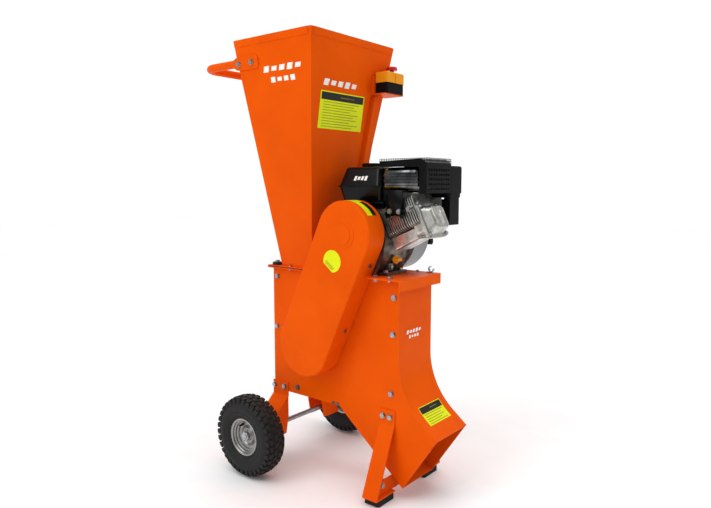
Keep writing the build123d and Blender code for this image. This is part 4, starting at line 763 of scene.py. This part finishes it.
def perforatedPanel(start, end):
    # thin upright sheet with two rows of open holes, along the line from start to end
    length = (Vector(end) - Vector(start)).length
    columns = max(2, int(length / guardStrip["pitch"]))
    clearSelection()
    bpy.ops.mesh.primitive_grid_add(x_subdivisions=columns, y_subdivisions=guardStrip["cells"], size=1,
                                    location=(0, 0, 0))
    panel = bpy.context.object
    selectWhole(panel)
    bpy.ops.transform.resize(value=(length, guardStrip["high"] - guardStrip["low"], 1))
    bpy.ops.mesh.inset(thickness=guardStrip["web"], use_individual=True)
    bpy.ops.mesh.delete(type="FACE")
    bpy.ops.object.mode_set(mode="OBJECT")
    solid = panel.modifiers.new("thickness", "SOLIDIFY")
    solid.thickness = guardStrip["thick"]
    solid.offset = 0
    bpy.ops.object.modifier_apply(modifier=solid.name)
    along = (Vector(end) - Vector(start)).normalized()
    up = Vector(upward)
    facing = Matrix((along, up, along.cross(up))).transposed().to_4x4()
    middle = (Vector(start) + Vector(end)) / 2
    middle.z = (guardStrip["low"] + guardStrip["high"]) / 2
    panel.data.transform(Matrix.Translation(middle) @ facing)
    repaint(panel, "gloss_black")
    return panel


def makeGuardStrip():
    # perforated collar around the top of the muffler guard
    low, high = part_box("muffler_guard")
    near, right = low.y + guardStrip["inset"], high.x - guardStrip["inset"]
    front = perforatedPanel((low.x - guardStrip["overhang"], near, 0), (right, near, 0))
    side = perforatedPanel((right, near, 0), (right, high.y, 0))
    settle(joinAll([front, side]), "guardCollar", "chassis")


makeMuffler()
makeEngineMounts()
makeHeadDetail()
makeGuardStrip()
print("engine details done")


lens = {"focal": 32.34, "place": (1.3193, -1.5509, 0.9126), "azimuth": 38.7, "elevation": 6.1}
softbox = {"glint": ((-0.5, -1.9, 2.3), 11, 1.2), "edge": ((2.8, 1.4, 2.4), 14, 1.2)}
sunlight = {"topSun": ((0.15, -0.1, 1.0), 1.7, 70), "keySun": ((-0.30, -0.86, 0.50), 0.56, 40)}
lampTarget = (0, 0, 0.7)
backdrop = {"level": 0.31, "bright": 1.05, "aim": (-0.625, 0.78, 0.0), "from": 0.30, "to": 0.75}


def makeCamera():
    data = bpy.data.cameras.new("view")
    data.lens = lens["focal"]
    data.sensor_width = 36
    camera = bpy.data.objects.new("view", data)
    bpy.context.collection.objects.link(camera)
    camera.location = lens["place"]
    turn, rise = math.radians(lens["azimuth"]), math.radians(lens["elevation"])
    back = Vector((math.sin(turn) * math.cos(rise), -math.cos(turn) * math.cos(rise), math.sin(rise)))
    camera.rotation_euler = (-back).to_track_quat("-Z", "Y").to_euler()
    bpy.context.scene.camera = camera


def aimAt(lamp, direction):
    lamp.rotation_euler = Vector(direction).to_track_quat("-Z", "Y").to_euler()


def addLamp(name, kind, power):
    data = bpy.data.lights.new(name, kind)
    data.energy = power
    lamp = bpy.data.objects.new(name, data)
    bpy.context.collection.objects.link(lamp)
    return lamp


def makeLights():
    # two soft boxes and two wide suns, with a backdrop that is bright on the side the camera faces
    for name, (place, power, size) in softbox.items():
        lamp = addLamp(name, "AREA", power)
        lamp.data.size = size
        lamp.location = place
        aimAt(lamp, Vector(lampTarget) - Vector(place))
    for name, (toward, strength, spread) in sunlight.items():
        lamp = addLamp(name, "SUN", strength)
        lamp.data.angle = math.radians(spread)
        aimAt(lamp, -Vector(toward))
    world = bpy.data.worlds.new("studio")
    bpy.context.scene.world = world
    world.use_nodes = True
    tree = world.node_tree
    coord = addNode(tree, "TexCoord")
    side = addNode(tree, "VectorMath", {1: backdrop["aim"]}, {0: coord.outputs["Generated"]},
                   operation="DOT_PRODUCT")
    glow = addNode(tree, "MapRange", {"From Min": backdrop["from"], "From Max": backdrop["to"],
                                      "To Min": backdrop["level"], "To Max": backdrop["bright"]},
                   {"Value": side.outputs["Value"]}, interpolation_type="SMOOTHSTEP")
    tree.links.new(glow.outputs["Result"], tree.nodes["Background"].inputs["Strength"])
    tree.nodes["Background"].inputs["Color"].default_value = (1.0, 1.0, 1.0, 1.0)
    bpy.context.scene.view_settings.view_transform = "Standard"


def makeFloor():
    clearSelection()
    bpy.ops.mesh.primitive_plane_add(size=30, location=(0, 0, -0.0005))
    floor = bpy.context.object
    floor.name = "floor"
    look = dict(color=srgb(250, 250, 250), tint=srgb(247, 247, 247), rough=(0.7, 0.8), fine=200.0, bump=0.02)
    floor.data.materials.append(makeFinish("floor_pale", look))


makeCamera()
makeLights()
makeFloor()
print("camera, lights and floor done")
